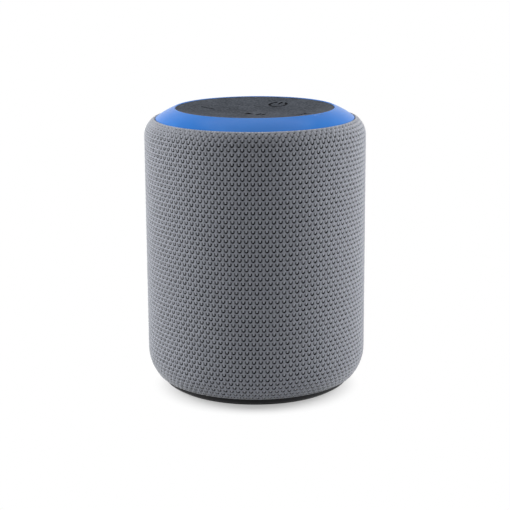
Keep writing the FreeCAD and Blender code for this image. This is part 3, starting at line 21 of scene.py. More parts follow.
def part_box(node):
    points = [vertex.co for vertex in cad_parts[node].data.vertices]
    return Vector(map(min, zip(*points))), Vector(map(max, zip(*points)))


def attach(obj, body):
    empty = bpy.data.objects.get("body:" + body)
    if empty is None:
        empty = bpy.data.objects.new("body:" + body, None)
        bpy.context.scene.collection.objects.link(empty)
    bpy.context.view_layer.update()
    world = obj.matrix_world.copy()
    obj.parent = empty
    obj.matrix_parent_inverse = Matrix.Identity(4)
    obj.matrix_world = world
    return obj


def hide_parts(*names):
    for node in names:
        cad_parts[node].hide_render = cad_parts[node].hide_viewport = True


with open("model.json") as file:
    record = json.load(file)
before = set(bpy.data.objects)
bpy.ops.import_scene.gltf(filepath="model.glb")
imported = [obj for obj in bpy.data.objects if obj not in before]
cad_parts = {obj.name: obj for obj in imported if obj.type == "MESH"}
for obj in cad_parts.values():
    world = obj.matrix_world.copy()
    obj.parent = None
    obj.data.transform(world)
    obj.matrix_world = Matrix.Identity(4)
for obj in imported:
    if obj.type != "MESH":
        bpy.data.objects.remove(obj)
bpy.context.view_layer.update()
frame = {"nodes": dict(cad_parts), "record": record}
bpy.ops.object.select_all(action="DESELECT")

MM = 0.001
NODES = frame["nodes"]
body_of = {}
for body, members in frame["record"]["behaviour"]["bodies"].items():
    for member in members:
        body_of[member] = body

# %% [markdown]
# ## The camera
#
# A product shot of a small object is taken with a long lens from some way off, a little above it, so
# that the wall's edges look almost parallel. The camera looks at a point half way up the axis.
# The object sits slightly above the middle of the frame, which a small lens shift gives without
# tilting anything. The camera is turned a third of a degree about its own line of sight.

# %% Camera
AIM = Vector((0, 0, 51.3 * MM))


def direction(azimuth, elevation):
    """The unit vector from the object towards a viewer or a lamp, from angles in degrees."""
    a, e = math.radians(azimuth), math.radians(elevation)
    return Vector((math.sin(a) * math.cos(e), -math.cos(a) * math.cos(e), math.sin(e)))


def aim_at_object(obj, azimuth, elevation, distance, roll=0.0):
    """Stands a camera or a lamp off the object and turns it towards the aim point."""
    away = direction(azimuth, elevation)
    obj.location = AIM + away * distance
    turn = (-away).to_track_quat("-Z", "Y").to_matrix() @ Matrix.Rotation(math.radians(roll), 3, "Z")
    obj.rotation_euler = turn.to_euler()


bpy.ops.object.camera_add()
camera = bpy.context.object
camera.name = "camera"
aim_at_object(camera, azimuth=26.7, elevation=13.14, distance=542.9 * MM, roll=-0.35)
camera.data.lens = 103.84
camera.data.sensor_width = 36.0
camera.data.shift_x = -0.0014
camera.data.shift_y = -0.0214
camera.data.clip_start = 0.02
camera.data.clip_end = 20
bpy.context.scene.camera = camera
print("camera at", [round(v, 3) for v in camera.location])

# %% [markdown]
# ## The light
#
# Two tall soft boxes stand at the sides, slightly behind the object, so that the cover is brightest
# along its edges and darkest at the front. A box overhead lights the pad and the ring, and a weak
# one in front keeps the knit's cups readable. Each box is set by how brightly it lights a surface
# that faces it: at 1, a colour renders as it is written. A lamp of P watts gives that level at a
# distance d when P is pi squared times d squared.

# %% Soft boxes
SOFT_BOXES = {
    # name: azimuth, elevation, distance (m), width (m), height (m), level
    "box_left": (-74, 12, 0.62, 0.40, 0.62, 1.85),
    "box_right": (127, 12, 0.62, 0.40, 0.62, 1.60),
    "box_front": (10, 35, 0.80, 0.50, 0.40, 0.06),
    "box_top": (205, 74, 0.60, 0.50, 0.40, 0.42),
}
for name, (azimuth, elevation, distance, width, tall, level) in SOFT_BOXES.items():
    bpy.ops.object.light_add(type="AREA")
    lamp = bpy.context.object
    lamp.name = name
    aim_at_object(lamp, azimuth, elevation, distance)
    lamp.data.shape = "RECTANGLE"
    lamp.data.size = width
    lamp.data.size_y = tall
    lamp.data.energy = level * (math.pi * distance) ** 2
print(len(SOFT_BOXES), "soft boxes")

# %% [markdown]
# ## Colours and nodes
#
# Colours are written as they look on a screen, as hex values, and one function turns them to the
# linear values that the shaders work with. One more function adds a node with its settings and its
# links, so that a material reads as a short list of steps.

# %% Colour and node helpers


def linear(hex_colour):
    """(r, g, b, 1) in linear light from an sRGB hex value such as 'A0B1C2'."""
    parts = [int(hex_colour[i : i + 2], 16) / 255 for i in (0, 2, 4)]
    return tuple(c / 12.92 if c <= 0.04045 else ((c + 0.055) / 1.055) ** 2.4 for c in parts) + (1.0,)


def add_node(tree, kind, inputs=(), out=0, **settings):
    """Adds a node with its settings; each input takes a number, a colour or another node's output."""
    made = tree.nodes.new(kind)
    for name, value in settings.items():
        setattr(made, name, value)
    for key, value in dict(inputs).items():
        if isinstance(value, bpy.types.NodeSocket):
            tree.links.new(value, made.inputs[key])
        else:
            made.inputs[key].default_value = value
    return made.outputs[out] if made.outputs else None


def new_material(name):
    """An empty material, and add_node bound to its tree."""
    material = bpy.data.materials.new(name)
    material.use_nodes = True
    material.node_tree.nodes.clear()
    return material, functools.partial(add_node, material.node_tree)


# %% [markdown]
# ## The table and the tent
#
# The object stands on a white board in a white tent. Where the camera or a reflection looks, both
# are plain white; for the light that they throw on the object, the tent is dim and the board has its
# real colour. Close round the object the board shows 60 % of its own shading, which keeps a light
# contact shadow, and further out it fades to plain white. The fade reaches a little further towards
# the camera.

# %% Floor and world
TENT_LEVEL = 0.30
SHADOW_CENTRE = direction(azimuth=26.7, elevation=0) * 6 * MM
SHADOW_NEAR, SHADOW_FAR = 28 * MM, 39 * MM
SHADOW_SHARE = 0.6


def rays_that_look(add):
    """1 for rays that come from the camera, a reflection or a clear material, else 0."""
    looks = add("ShaderNodeLightPath", out="Is Camera Ray")
    for kind in ("Is Glossy Ray", "Is Transmission Ray"):
        ray = add("ShaderNodeLightPath", out=kind)
        looks = add("ShaderNodeMath", {0: looks, 1: ray}, operation="MAXIMUM")
    return looks


def white_board():
    """A matt white board."""
    material, add = new_material("matt_white_board")
    place = add("ShaderNodeTexCoord", out="Object")
    away = {0: place, 1: SHADOW_CENTRE}
    away = add("ShaderNodeVectorMath", away, out="Value", operation="DISTANCE")
    fade = {"Value": away, "From Min": SHADOW_NEAR, "From Max": SHADOW_FAR}
    fade.update({"To Min": SHADOW_SHARE, "To Max": 0.0})
    share = add("ShaderNodeMapRange", fade, interpolation_type="SMOOTHSTEP")
    board = add("ShaderNodeBsdfDiffuse", {"Color": linear("E4E4E4")})
    plain = add("ShaderNodeEmission", {"Color": linear("FFFFFF"), "Strength": 1.0})
    seen = add("ShaderNodeMixShader", {0: share, 1: plain, 2: board})
    surface = add("ShaderNodeMixShader", {0: rays_that_look(add), 1: board, 2: seen})
    add("ShaderNodeOutputMaterial", {"Surface": surface})
    return material


bpy.ops.mesh.primitive_plane_add(size=8)
board = bpy.context.object
board.name = "board"
board.data.materials.append(white_board())

world = bpy.data.worlds.new("tent")
world.use_nodes = True
world.node_tree.nodes.clear()
add = functools.partial(add_node, world.node_tree)
level = add("ShaderNodeMath", {0: rays_that_look(add), 1: TENT_LEVEL}, operation="MAXIMUM")
tent = add("ShaderNodeBackground", {"Color": linear("FFFFFF"), "Strength": level})
add("ShaderNodeOutputWorld", {"Surface": tent})
bpy.context.scene.world = world
bpy.context.scene.view_settings.view_transform = "Standard"
print("tent at", TENT_LEVEL, "of white")

# %% [markdown]
# ## The knitted cover: its line
#
# The real cover is a spacer knit, stretched over the sleeve like a sock. Seen from the side it rises
# from a hem round a large soft roll, up a straight wall, and round a tighter roll to the ring. A
# function of the distance along that line gives the place and the outward direction of the cloth.

# %% The line of the cover
WALES, ROWS = 106, 59
BODY_R = 40.15
TOP_ROLL, TOP_ROLL_WIDTH = 7.6, 3.7
LOW_ROLL, LOW_ROLL_WIDTH = 15.0, 4.0
hem_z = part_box("fabric_sleeve")[0].z / MM
neck_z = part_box("fabric_sleeve")[1].z / MM

top_turn = math.acos(1 - TOP_ROLL_WIDTH / TOP_ROLL)
low_turn = math.acos(1 - LOW_ROLL_WIDTH / LOW_ROLL)
top_centre_z = neck_z - TOP_ROLL * math.sin(top_turn)
low_centre_z = hem_z + LOW_ROLL * math.sin(low_turn)
low_arc = LOW_ROLL * low_turn
wall = top_centre_z - low_centre_z
cover_length = low_arc + wall + TOP_ROLL * top_turn
wale_pitch = 2 * math.pi * BODY_R / WALES
row_pitch = cover_length / ROWS
print("stitch", round(wale_pitch, 2), "mm wide,", round(row_pitch, 2), "mm tall")


def along_cover(s):
    """Radius, height, and outward direction (r, z) at a distance s (mm) up the cover from its hem."""
    low = np.clip(s / low_arc, 0, 1)
    high = np.clip((s - low_arc - wall) / (TOP_ROLL * top_turn), 0, 1)
    angle = (low - 1) * low_turn + high * top_turn
    roll = np.where(s > low_arc + wall / 2, TOP_ROLL, LOW_ROLL)
    centre_z = low_centre_z + np.clip(s - low_arc, 0, wall)
    out_r, out_z = np.cos(angle), np.sin(angle)
    return BODY_R - roll + roll * out_r, centre_z + roll * out_z, out_r, out_z


# %% [markdown]
# ## The knitted cover: its stitches
#
# The knit's face is a field of small cups in staggered rows. Each cup dips to its backing along its
# lower edge, where shade falls, and the material paints that shade as a dark crescent; a soft loop
# lies in its mouth. A bump map alone would leave the cylinder's outline perfectly smooth, so the cups
# are geometry.
#
# The tables below are one stitch, four points across and three up, with its lowest row first. DEPTH
# says how far a point stands behind the ribs in millimetres. SIDEWAYS and UPWARDS shift it by parts
# of a step, which bends the cup's edge to a crescent. Every second row starts half a stitch later.
# A real knit is uneven, so each point also gets a small random shift, the same on every run. The
# first and the last row of the face have no cups and lie at EDGE_DEPTH.

# %% One stitch
ACROSS, UP = 4, 3
DEPTH = np.array([[0.10, 0.02, 0.16, 0.02], [0.00, 0.30, 0.74, 0.36], [0.02, 0.38, 0.02, 0.46]])
SIDEWAYS = np.array([[0.0, 0.10, 0.0, -0.10], [0.0, 0.16, 0.05, -0.16], [0.0, -0.02, 0.0, 0.02]])
UPWARDS = np.array([[0.0, 0.0, 0.06, 0.0], [0.0, 0.06, -0.10, 0.06], [0.0, 0.0, -0.02, 0.0]])
UNEVEN_DEPTH, UNEVEN_STEP = 0.05, 0.08
EDGE_DEPTH = 0.25
CLOTH_THICKNESS = 0.80
# The last rows return behind the face, so that the cover is a closed cloth with a thickness. Two of
# them lie just above and below the socket opening, which is cut later.
RETURN_AT = np.array([1.0, 0.965, 0.925, 0.42, 0.23, 0.11, 0.05, 0.0])
print("stitch of", DEPTH.size, "points, up to", DEPTH.max(), "mm deep")

# %% [markdown]
# The cloth starts as a flat grid with one point for each place in the tables. Every point is then
# given its wale and course, which are its stitch across and its row up, and rolled round the body
# along the cover's line. A grid keeps the order of its points, so all of them move in one step.

# %% Knit it flat and roll it round the body
columns, face_rows = WALES * ACROSS, ROWS * UP
all_rows = face_rows + len(RETURN_AT)
bpy.ops.mesh.primitive_grid_add(x_subdivisions=columns, y_subdivisions=all_rows, size=1)
cover = bpy.context.object
cover.name = "knit_cover"
flat = np.empty(len(cover.data.vertices) * 3)
cover.data.vertices.foreach_get("co", flat)
column = np.rint((flat[0::3] + 0.5) * columns).astype(int)
row = np.rint((flat[1::3] + 0.5) * all_rows).astype(int)

on_face = row <= face_rows
inner = on_face & (row > 0) & (row < face_rows)
step_up = np.where(inner, row % UP, 0)
step_across = (column - ACROSS // 2 * (row // UP % 2)) % ACROSS
chance = np.random.default_rng(7)
uneven = chance.normal(size=(3, all_rows + 1, columns))[:, row, column % columns] * inner
wale = column / ACROSS + inner * (SIDEWAYS[step_up, step_across] + UNEVEN_STEP * uneven[0]) / ACROSS
course = row / UP + inner * (UPWARDS[step_up, step_across] + UNEVEN_STEP * uneven[1]) / UP
sunk = np.where(inner, DEPTH[step_up, step_across] + UNEVEN_DEPTH * np.abs(uneven[2]), EDGE_DEPTH)
course = np.where(on_face, course, RETURN_AT[np.clip(row - face_rows - 1, 0, None)] * ROWS)
sunk = np.where(on_face, sunk, CLOTH_THICKNESS)

radius, height, out_r, out_z = along_cover(np.clip(course, 0, ROWS) * row_pitch)
radius, height = radius - sunk * out_r, height - sunk * out_z
turn = 2 * math.pi * wale / WALES
rolled = np.stack([radius * np.cos(turn), radius * np.sin(turn), height], axis=1) * MM
cover.data.vertices.foreach_set("co", rolled.ravel())

# The cover's own map counts stitches across and rows up.
corner_of = np.empty(len(cover.data.loops), dtype=int)
cover.data.loops.foreach_get("vertex_index", corner_of)
knit_map = cover.data.uv_layers.active
knit_map.name = "knit"
knit_map.data.foreach_set("uv", np.stack([wale, course], axis=1)[corner_of].ravel())
cover.data.update()
print(len(cover.data.polygons), "faces in the knit")

# %% [markdown]
# The first and the last column lie on each other, and merging them closes the tube. The face and
# its return still have an open edge at the hem, which a bridge sews up. Normals are made to point
# outwards once everything is joined.

# %% Close the cover


def select_open_edges():
    """In edit mode, selects the edges that have a face on one side only."""
    bpy.ops.mesh.select_mode(type="EDGE")
    bpy.ops.mesh.select_all(action="DESELECT")
    bpy.ops.mesh.select_non_manifold()


bpy.ops.object.mode_set(mode="EDIT")
bpy.ops.mesh.select_all(action="SELECT")
bpy.ops.mesh.remove_doubles(threshold=0.02 * MM)
select_open_edges()
bpy.ops.mesh.bridge_edge_loops()
bpy.ops.mesh.select_all(action="SELECT")
bpy.ops.mesh.normals_make_consistent(inside=False)
bpy.ops.object.mode_set(mode="OBJECT")
print(len(cover.data.polygons), "faces once it is closed")

# %% [markdown]
# ## The knitted cover: the socket opening
#
# The socket panel at the rear needs an opening. It is cut as a tailor would cut it: straight cuts
# along each side and across each corner, and the piece inside is dropped. The cuts only reach the
# few hundred faces round the opening. The edges that the face and the back of the cloth then show
# are sewn to each other, as a bound edge is.

# %% Cut the opening
CUT_GAP, CORNER_CUT = 0.15 * MM, 1.55 * MM
panel_low, panel_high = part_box("port_panel")
panel_z = (panel_low.z + panel_high.z) / 2
half_wide = panel_high.x + CUT_GAP
half_tall = (panel_high.z - panel_low.z) / 2 + CUT_GAP
cuts = []
for side in (1, -1):
    cuts.append((Vector((side * half_wide, 0, panel_z)), Vector((side, 0, 0))))
    cuts.append((Vector((0, 0, panel_z + side * half_tall)), Vector((0, 0, side))))
    for end in (1, -1):
        corner_x = side * (half_wide - CORNER_CUT / 2)
        corner_z = panel_z + end * (half_tall - CORNER_CUT / 2)
        cuts.append((Vector((corner_x, 0, corner_z)), Vector((side, 0, end)).normalized()))


def select_where(obj, kind, test):
    """Selects each FACE or VERT whose place passes the test, stays in edit mode, and counts them."""
    bpy.ops.object.mode_set(mode="EDIT")
    bpy.ops.mesh.select_mode(type=kind)
    bpy.ops.mesh.select_all(action="DESELECT")
    bpy.ops.object.mode_set(mode="OBJECT")
    parts = obj.data.polygons if kind == "FACE" else obj.data.vertices
    for part in parts:
        part.select = bool(test(part.center if kind == "FACE" else part.co))
    picked = sum(part.select for part in parts)
    bpy.ops.object.mode_set(mode="EDIT")
    return picked


def near_opening(c):
    """True for a point at the rear, in the opening or a little outside it."""
    spare = 1.5 * MM
    return c.y > 0 and abs(c.x) < half_wide + spare and abs(c.z - panel_z) < half_tall + spare


def inside_opening(c):
    """True for a point at the rear that lies on the inner side of every cut."""
    return c.y > 0 and all((c - place).dot(outward) < 0 for place, outward in cuts)


for place, outward in cuts:
    select_where(cover, "FACE", near_opening)
    bpy.ops.mesh.bisect(plane_co=place, plane_no=outward)
dropped = select_where(cover, "FACE", inside_opening)
bpy.ops.mesh.delete(type="FACE")
select_open_edges()
bpy.ops.mesh.bridge_edge_loops()
bpy.ops.object.mode_set(mode="OBJECT")
bpy.ops.object.shade_smooth()
print(dropped, "faces dropped,", len(cover.data.polygons), "faces left")

# %% [markdown]
# ## The yarn
#
# The yarn is polyester. The pattern runs on the cover's own map, so it sits exactly on the geometry.
# It paints shade into a U-shaped crescent and the pit at its lowest point, where little light reaches
# the backing. Each stitch's painted shade has its own strength, because no two dips are equally deep,
# and the right arm is painted darker, as shade from light that falls more from the left. The loop in
# the mouth is painted a lighter grey, a painted highlight where it stands up into the light.
# Filaments are about 0.02 mm thick, too fine to show, so the noise that stands for them is drawn at
# 0.2 mm. Fibres that stand up give the cloth a soft sheen at grazing angles.

# %% Material of the cover
CRESCENT_R, PIT_AT = 0.54, 0.31


def polyester_spacer_knit():
    """Dull grey knit with painted shade in its cups and a painted highlight on their loops."""
    material, add = new_material("polyester_spacer_knit")
    counted = add("ShaderNodeUVMap", uv_map="knit")
    u = add("ShaderNodeSeparateXYZ", {0: counted}, out="X")
    v = add("ShaderNodeSeparateXYZ", {0: counted}, out="Y")
    row_number = add("ShaderNodeMath", {0: v}, operation="FLOOR")
    odd = add("ShaderNodeMath", {0: row_number, 1: 2.0}, operation="FLOORED_MODULO")
    u = add("ShaderNodeMath", {0: odd, 1: -0.5, 2: u}, operation="MULTIPLY_ADD")
    wale_number = add("ShaderNodeMath", {0: u}, operation="FLOOR")
    # x and y run in millimetres from the pit of each stitch.
    x = add("ShaderNodeMath", {0: u}, operation="FRACT")
    x = add("ShaderNodeMath", {0: x, 1: wale_pitch, 2: -0.5 * wale_pitch}, operation="MULTIPLY_ADD")
    y = add("ShaderNodeMath", {0: v}, operation="FRACT")
    y = add("ShaderNodeMath", {0: y, 1: row_pitch, 2: -PIT_AT * row_pitch}, operation="MULTIPLY_ADD")
    # The crescent is a half circle with straight arms above it.
    rise = add("ShaderNodeMath", {0: y, 1: CRESCENT_R}, operation="SUBTRACT")
    rise = add("ShaderNodeMath", {0: rise, 1: 0.0}, operation="MINIMUM")
    reach = add("ShaderNodeCombineXYZ", {"X": x, "Y": rise})
    reach = add("ShaderNodeVectorMath", {0: reach}, out="Value", operation="LENGTH")
    beside = add("ShaderNodeMath", {0: reach, 1: CRESCENT_R}, operation="SUBTRACT")
    beside = add("ShaderNodeMath", {0: beside}, operation="ABSOLUTE")
    smooth = {"interpolation_type": "SMOOTHSTEP"}
    line = {"Value": beside, "From Min": 0.17, "From Max": 0.31, "To Min": 1.0, "To Max": 0.0}
    crescent = add("ShaderNodeMapRange", line, **smooth)
    ends = {"Value": y, "From Min": 0.90, "From Max": 1.35, "To Min": 1.0, "To Max": 0.0}
    ends = add("ShaderNodeMapRange", ends, **smooth)
    crescent = add("ShaderNodeMath", {0: crescent, 1: ends}, operation="MULTIPLY")
    # Each stitch's painted shade has its own strength, its right arm is painted darker, as shade from
    # light that falls more from the left, and it flattens at the neck.
    stitch = add("ShaderNodeCombineXYZ", {"X": wale_number, "Y": row_number})
    own = add("ShaderNodeTexWhiteNoise", {"Vector": stitch}, noise_dimensions="2D")
    own = add("ShaderNodeMapRange", {"Value": own, "To Min": 0.85, "To Max": 1.0})
    # Painted shade: darker towards the right arm, as the light falls more from the left.
    right_arm_shade = {"Value": x, "From Min": -0.6, "From Max": 0.6, "To Min": 0.85, "To Max": 1.0}
    right_arm_shade = add("ShaderNodeMapRange", right_arm_shade)
    own = add("ShaderNodeMath", {0: own, 1: right_arm_shade}, operation="MULTIPLY")
    neck = {"Value": v, "From Min": ROWS - 3.5, "From Max": ROWS - 0.5, "To Min": 1.0, "To Max": 0.25}
    neck = add("ShaderNodeMapRange", neck)
    own = add("ShaderNodeMath", {0: own, 1: neck}, operation="MULTIPLY")
    crescent = add("ShaderNodeMath", {0: crescent, 1: own}, operation="MULTIPLY")
    pit = add("ShaderNodeCombineXYZ", {"X": x, "Y": y})
    pit = add("ShaderNodeVectorMath", {0: pit, 1: (0.05, 0.03, 0)}, out="Value", operation="DISTANCE")
    pit = {"Value": pit, "From Min": 0.18, "From Max": 0.38, "To Min": 1.0, "To Max": 0.0}
    pit = add("ShaderNodeMapRange", pit, **smooth)
    mouth = {"Value": reach, "From Min": 0.20, "From Max": 0.60, "To Min": 1.0, "To Max": 0.0}
    mouth = add("ShaderNodeMapRange", mouth, **smooth)
    place = add("ShaderNodeTexCoord", out="Object")
    filaments = add("ShaderNodeTexNoise", {"Vector": place, "Scale": 1 / (0.2 * MM), "Detail": 3.0})
    picked = add("ShaderNodeMapRange", {"Value": filaments, "From Min": 0.30, "From Max": 0.70})
    rib = {0: picked, 6: linear("6E7179"), 7: linear("989BA3")}
    rib = add("ShaderNodeMix", rib, out=2, data_type="RGBA")
    # Painted highlight: the loop in the mouth is a lighter grey, where it stands up into the light.
    loop = {0: picked, 6: linear("7C7F87"), 7: linear("A6A9B1")}
    loop = add("ShaderNodeMix", loop, out=2, data_type="RGBA")
    colour = add("ShaderNodeMix", {0: mouth, 6: rib, 7: loop}, out=2, data_type="RGBA")
    # Painted shade: the crescent and the pit go to near-black, where little light reaches the backing.
    colour = add("ShaderNodeMix", {0: crescent, 6: colour, 7: linear("0A0C11")}, out=2, data_type="RGBA")
    colour = add("ShaderNodeMix", {0: pit, 6: colour, 7: linear("07080B")}, out=2, data_type="RGBA")
    relief = add("ShaderNodeMath", {0: crescent, 1: -1.2, 2: filaments}, operation="MULTIPLY_ADD")
    relief = add("ShaderNodeBump", {"Height": relief, "Distance": 0.10 * MM, "Strength": 0.8})
    finish = {"Base Color": colour, "Roughness": 0.85, "Normal": relief, "Specular IOR Level": 0.2}
    finish.update({"Sheen Weight": 0.40, "Sheen Roughness": 0.4})
    add("ShaderNodeOutputMaterial", {"Surface": add("ShaderNodeBsdfPrincipled", finish)})
    return material


def dress(piece, material, slot, *nodes):
    """Gives a piece its material, and lets it stand for nodes of the frame. The slot is not used."""
    piece.data.materials.clear()
    piece.data.materials.append(material)
    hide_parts(*nodes)
    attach(piece, body_of[nodes[0]])


dress(cover, polyester_spacer_knit(), "knit_grey", "fabric_sleeve")

# %% [markdown]
# The cover is cut as a tube 252 mm round and 118 mm long: the wall and both rolls take 99 mm, and
# the rest turns in under the hem and the neck.

# %% [markdown]
# ## The foot
#
# The speaker stands on a ring of moulded rubber, pressed into a groove of the base cover. A ring is
# made here as on a lathe, from one outline: a circle is drawn at the first point of the outline and
# extruded from point to point, and the last circle is bridged to the first. That gives even faces
# all round. A bevel then rounds what is still sharp.

# %% Turn a ring


def turned(name, outline, segments=160):
    """A closed ring from the outline's points (radius, height) in mm, in order round it."""
    radius, z = outline[0]
    bpy.ops.object.select_all(action="DESELECT")
    bpy.ops.mesh.primitive_circle_add(vertices=segments, radius=radius * MM, location=(0, 0, z * MM))
    ring = bpy.context.object
    ring.name = name
    bpy.ops.object.transform_apply(location=True)
    bpy.ops.object.mode_set(mode="EDIT")
    bpy.ops.mesh.select_mode(type="EDGE")
    for (before, low), (after, high) in zip(outline, outline[1:]):
        bpy.ops.mesh.extrude_region_move(TRANSFORM_OT_translate={"value": (0, 0, (high - low) * MM)})
        scale = after / before
        bpy.ops.transform.resize(value=(scale, scale, 1), center_override=(0, 0, high * MM))
    select_open_edges()
    bpy.ops.mesh.bridge_edge_loops()
    bpy.ops.mesh.select_all(action="SELECT")
    bpy.ops.mesh.normals_make_consistent(inside=False)
    bpy.ops.object.mode_set(mode="OBJECT")
    return ring


def bevel_edges(piece, width, segments=2):
    """Gives the sharp edges of the active piece a bevel of that width (mm), and smooth shading."""
    bpy.ops.object.modifier_add(type="BEVEL")
    bevel = piece.modifiers[-1]
    bevel.width = width * MM
    bevel.segments = segments
    bevel.limit_method = "ANGLE"
    bevel.angle_limit = math.radians(40)
    bpy.ops.object.modifier_apply(modifier=bevel.name)
    bpy.ops.object.shade_smooth_by_angle(angle=math.radians(35))


# %% [markdown]
# The outline of the foot starts at the top of the part that sits in the cover. Its outer edge rolls
# under in a quarter round, three fine grooves in the sole let it grip, and the inner edge rolls up
# again. The rubber is dull and black, as it comes from a blasted mould.

# %% Rubber foot
FOOT_WIDTH, EDGE_IN, EDGE_UP = 10.6, 1.3, 0.7
SEAT_STEP, SEAT_DEPTH = 1.0, 0.6
GROOVE, GROOVE_DEPTH = 0.9, 0.4
GROOVE_PLACES = (0.27, 0.5, 0.73)
foot_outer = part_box("rubber_foot")[1].x / MM
foot_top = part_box("rubber_foot")[1].z / MM
foot_inner = foot_outer - FOOT_WIDTH
quarter = [math.radians(angle) for angle in (0, 30, 60, 90)]
seat = foot_top - SEAT_DEPTH
outline = [(foot_outer - SEAT_STEP, foot_top), (foot_outer - SEAT_STEP, seat), (foot_outer, seat)]
outline += [(foot_outer - EDGE_IN * (1 - math.cos(a)), EDGE_UP * (1 - math.sin(a))) for a in quarter]
for share in GROOVE_PLACES:
    middle = foot_outer - FOOT_WIDTH * share
    near, far = middle + GROOVE / 2, middle - GROOVE / 2
    outline += [(near, 0.0), (near, GROOVE_DEPTH), (far, GROOVE_DEPTH), (far, 0.0)]
outline += [(foot_inner + EDGE_IN * (1 - math.sin(a)), EDGE_UP * (1 - math.cos(a))) for a in quarter]
outline += [(foot_inner, seat), (foot_inner + SEAT_STEP, seat), (foot_inner + SEAT_STEP, foot_top)]
foot = turned("foot_ring", outline)
bevel_edges(foot, 0.1)
print("foot", len(foot.data.polygons), "faces")


def moulded_rubber():
    """Black rubber from a blasted mould: dull, with a faint grain and slow pale clouds."""
    material, add = new_material("moulded_rubber")
    place = add("ShaderNodeTexCoord", out="Object")
    grain = add("ShaderNodeTexNoise", {"Vector": place, "Scale": 1 / (0.25 * MM), "Detail": 3.0})
    cloud = add("ShaderNodeTexNoise", {"Vector": place, "Scale": 1 / (14 * MM), "Detail": 2.0})
    colour = {0: cloud, 6: linear("151517"), 7: linear("242427")}
    colour = add("ShaderNodeMix", colour, out=2, data_type="RGBA")
    relief = add("ShaderNodeBump", {"Height": grain, "Distance": 0.02 * MM, "Strength": 0.6})
    finish = {"Base Color": colour, "Roughness": 0.72, "Normal": relief, "Specular IOR Level": 0.2}
    add("ShaderNodeOutputMaterial", {"Surface": add("ShaderNodeBsdfPrincipled", finish)})
    return material


dress(foot, moulded_rubber(), "foot_rubber", "rubber_foot")

# %% [markdown]
# ## Mouldings that need a finer shape
#
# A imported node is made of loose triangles. Where a node's shape is right but its edges are too sharp
# for a real moulding, a copy is merged into one skin and its edges get a small bevel.

# %% Copy a node as one skin


def merged_copy(node, name):
    """A copy of a node whose loose triangles are merged and whose flat faces are whole again."""
    bpy.ops.object.select_all(action="DESELECT")
    bpy.ops.mesh.primitive_plane_add(size=MM)
    piece = bpy.context.object
    piece.name = name
    piece.data = NODES[node].data.copy()
    bpy.ops.mesh.customdata_custom_splitnormals_clear()
    bpy.ops.object.mode_set(mode="EDIT")
    bpy.ops.mesh.select_all(action="SELECT")
    bpy.ops.mesh.remove_doubles(threshold=0.002 * MM)
    bpy.ops.mesh.dissolve_limited(angle_limit=math.radians(0.5))
    bpy.ops.object.mode_set(mode="OBJECT")
    bpy.ops.object.shade_smooth_by_angle(angle=math.radians(35))
    return piece


# %% [markdown]
# ## The pad and its keys
#
# The pad is one sheet of silicone rubber with a soft-touch finish, and the keys are cut from it so
# closely that their outlines hardly show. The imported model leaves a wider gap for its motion, so
# each key's cap is spread sideways here until a hair's breadth is left. Only the cap is selected:
# it is all that stands above the flange which holds the key under the pad.

# %% Spread the key caps
KEYS = ["volume_down", "volume_up", "power", "microphone", "play_pause"]
KEY_R, KEY_HOLE_R, HAIR = 5.4, 5.7, 0.06
# The dished surface is part of a sphere with this radius and this centre up the axis, in mm.
DISH_R, DISH_Z = 158.05, 257.60
CAP_DEPTH = 1.75


def in_cap(c):
    """True for a point that lies less than the cap's depth below the dished surface."""
    return math.hypot(c.x, c.y, c.z - DISH_Z * MM) / MM - DISH_R < CAP_DEPTH


caps = []
for key in KEYS:
    cap = merged_copy("key_" + key, key + "_cap")
    low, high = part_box("plunger_" + key)
    spread = (KEY_HOLE_R - HAIR) / KEY_R
    picked = select_where(cap, "VERT", in_cap)
    bpy.ops.transform.resize(value=(spread, spread, 1), center_override=(low + high) / 2)
    bpy.ops.object.mode_set(mode="OBJECT")
    print(cap.name, picked, "points spread")
    caps.append(cap)

# %% [markdown]
# The symbols are moulded 0.3 mm deep and filled with dark ink, which also wets their walls. The key
# material finds them by depth: it turns from rubber to ink between a tenth and a quarter of the way
# down. Depth is the distance from the centre of the sphere that the dish is part of, less its radius.

# %% Silicone of the pad and keys
SYMBOL_DEPTH = 0.3


def soft_touch_silicone(name, printed):
    """Dark grey silicone with a matt lacquer; printed adds dark ink in the sunk symbols."""
    material, add = new_material(name)
    place = add("ShaderNodeTexCoord", out="Object")
    speck = add("ShaderNodeTexNoise", {"Vector": place, "Scale": 1 / (0.8 * MM), "Detail": 5.0})
    cloud = add("ShaderNodeTexNoise", {"Vector": place, "Scale": 1 / (12 * MM), "Detail": 2.0})
    mixed = add("ShaderNodeMath", {0: cloud, 1: 0.35, 2: speck}, operation="MULTIPLY_ADD")
    mixed = add("ShaderNodeMapRange", {"Value": mixed, "From Min": 0.50, "From Max": 0.85})
    colour = {0: mixed, 6: linear("2B2E33"), 7: linear("4D5158")}
    colour = add("ShaderNodeMix", colour, out=2, data_type="RGBA")
    if printed:
        centre = (0, 0, DISH_Z * MM)
        floor = add("ShaderNodeVectorMath", {0: place, 1: centre}, out="Value", operation="DISTANCE")
        floor = {"Value": floor, "From Min": (DISH_R + SYMBOL_DEPTH * 0.10) * MM}
        floor["From Max"] = (DISH_R + SYMBOL_DEPTH * 0.25) * MM
        floor = add("ShaderNodeMapRange", floor)
        colour = {0: floor, 6: colour, 7: linear("17181C")}
        colour = add("ShaderNodeMix", colour, out=2, data_type="RGBA")
    relief = add("ShaderNodeBump", {"Height": speck, "Distance": 0.04 * MM, "Strength": 0.7})
    finish = {"Base Color": colour, "Roughness": 0.70, "Normal": relief, "Specular IOR Level": 0.02}
    add("ShaderNodeOutputMaterial", {"Surface": add("ShaderNodeBsdfPrincipled", finish)})
    return material


printed_silicone = soft_touch_silicone("printed_silicone", printed=True)
for key, cap in zip(KEYS, caps):
    dress(cap, printed_silicone, "key_rubber", "key_" + key)
print(len(caps), "caps dressed")

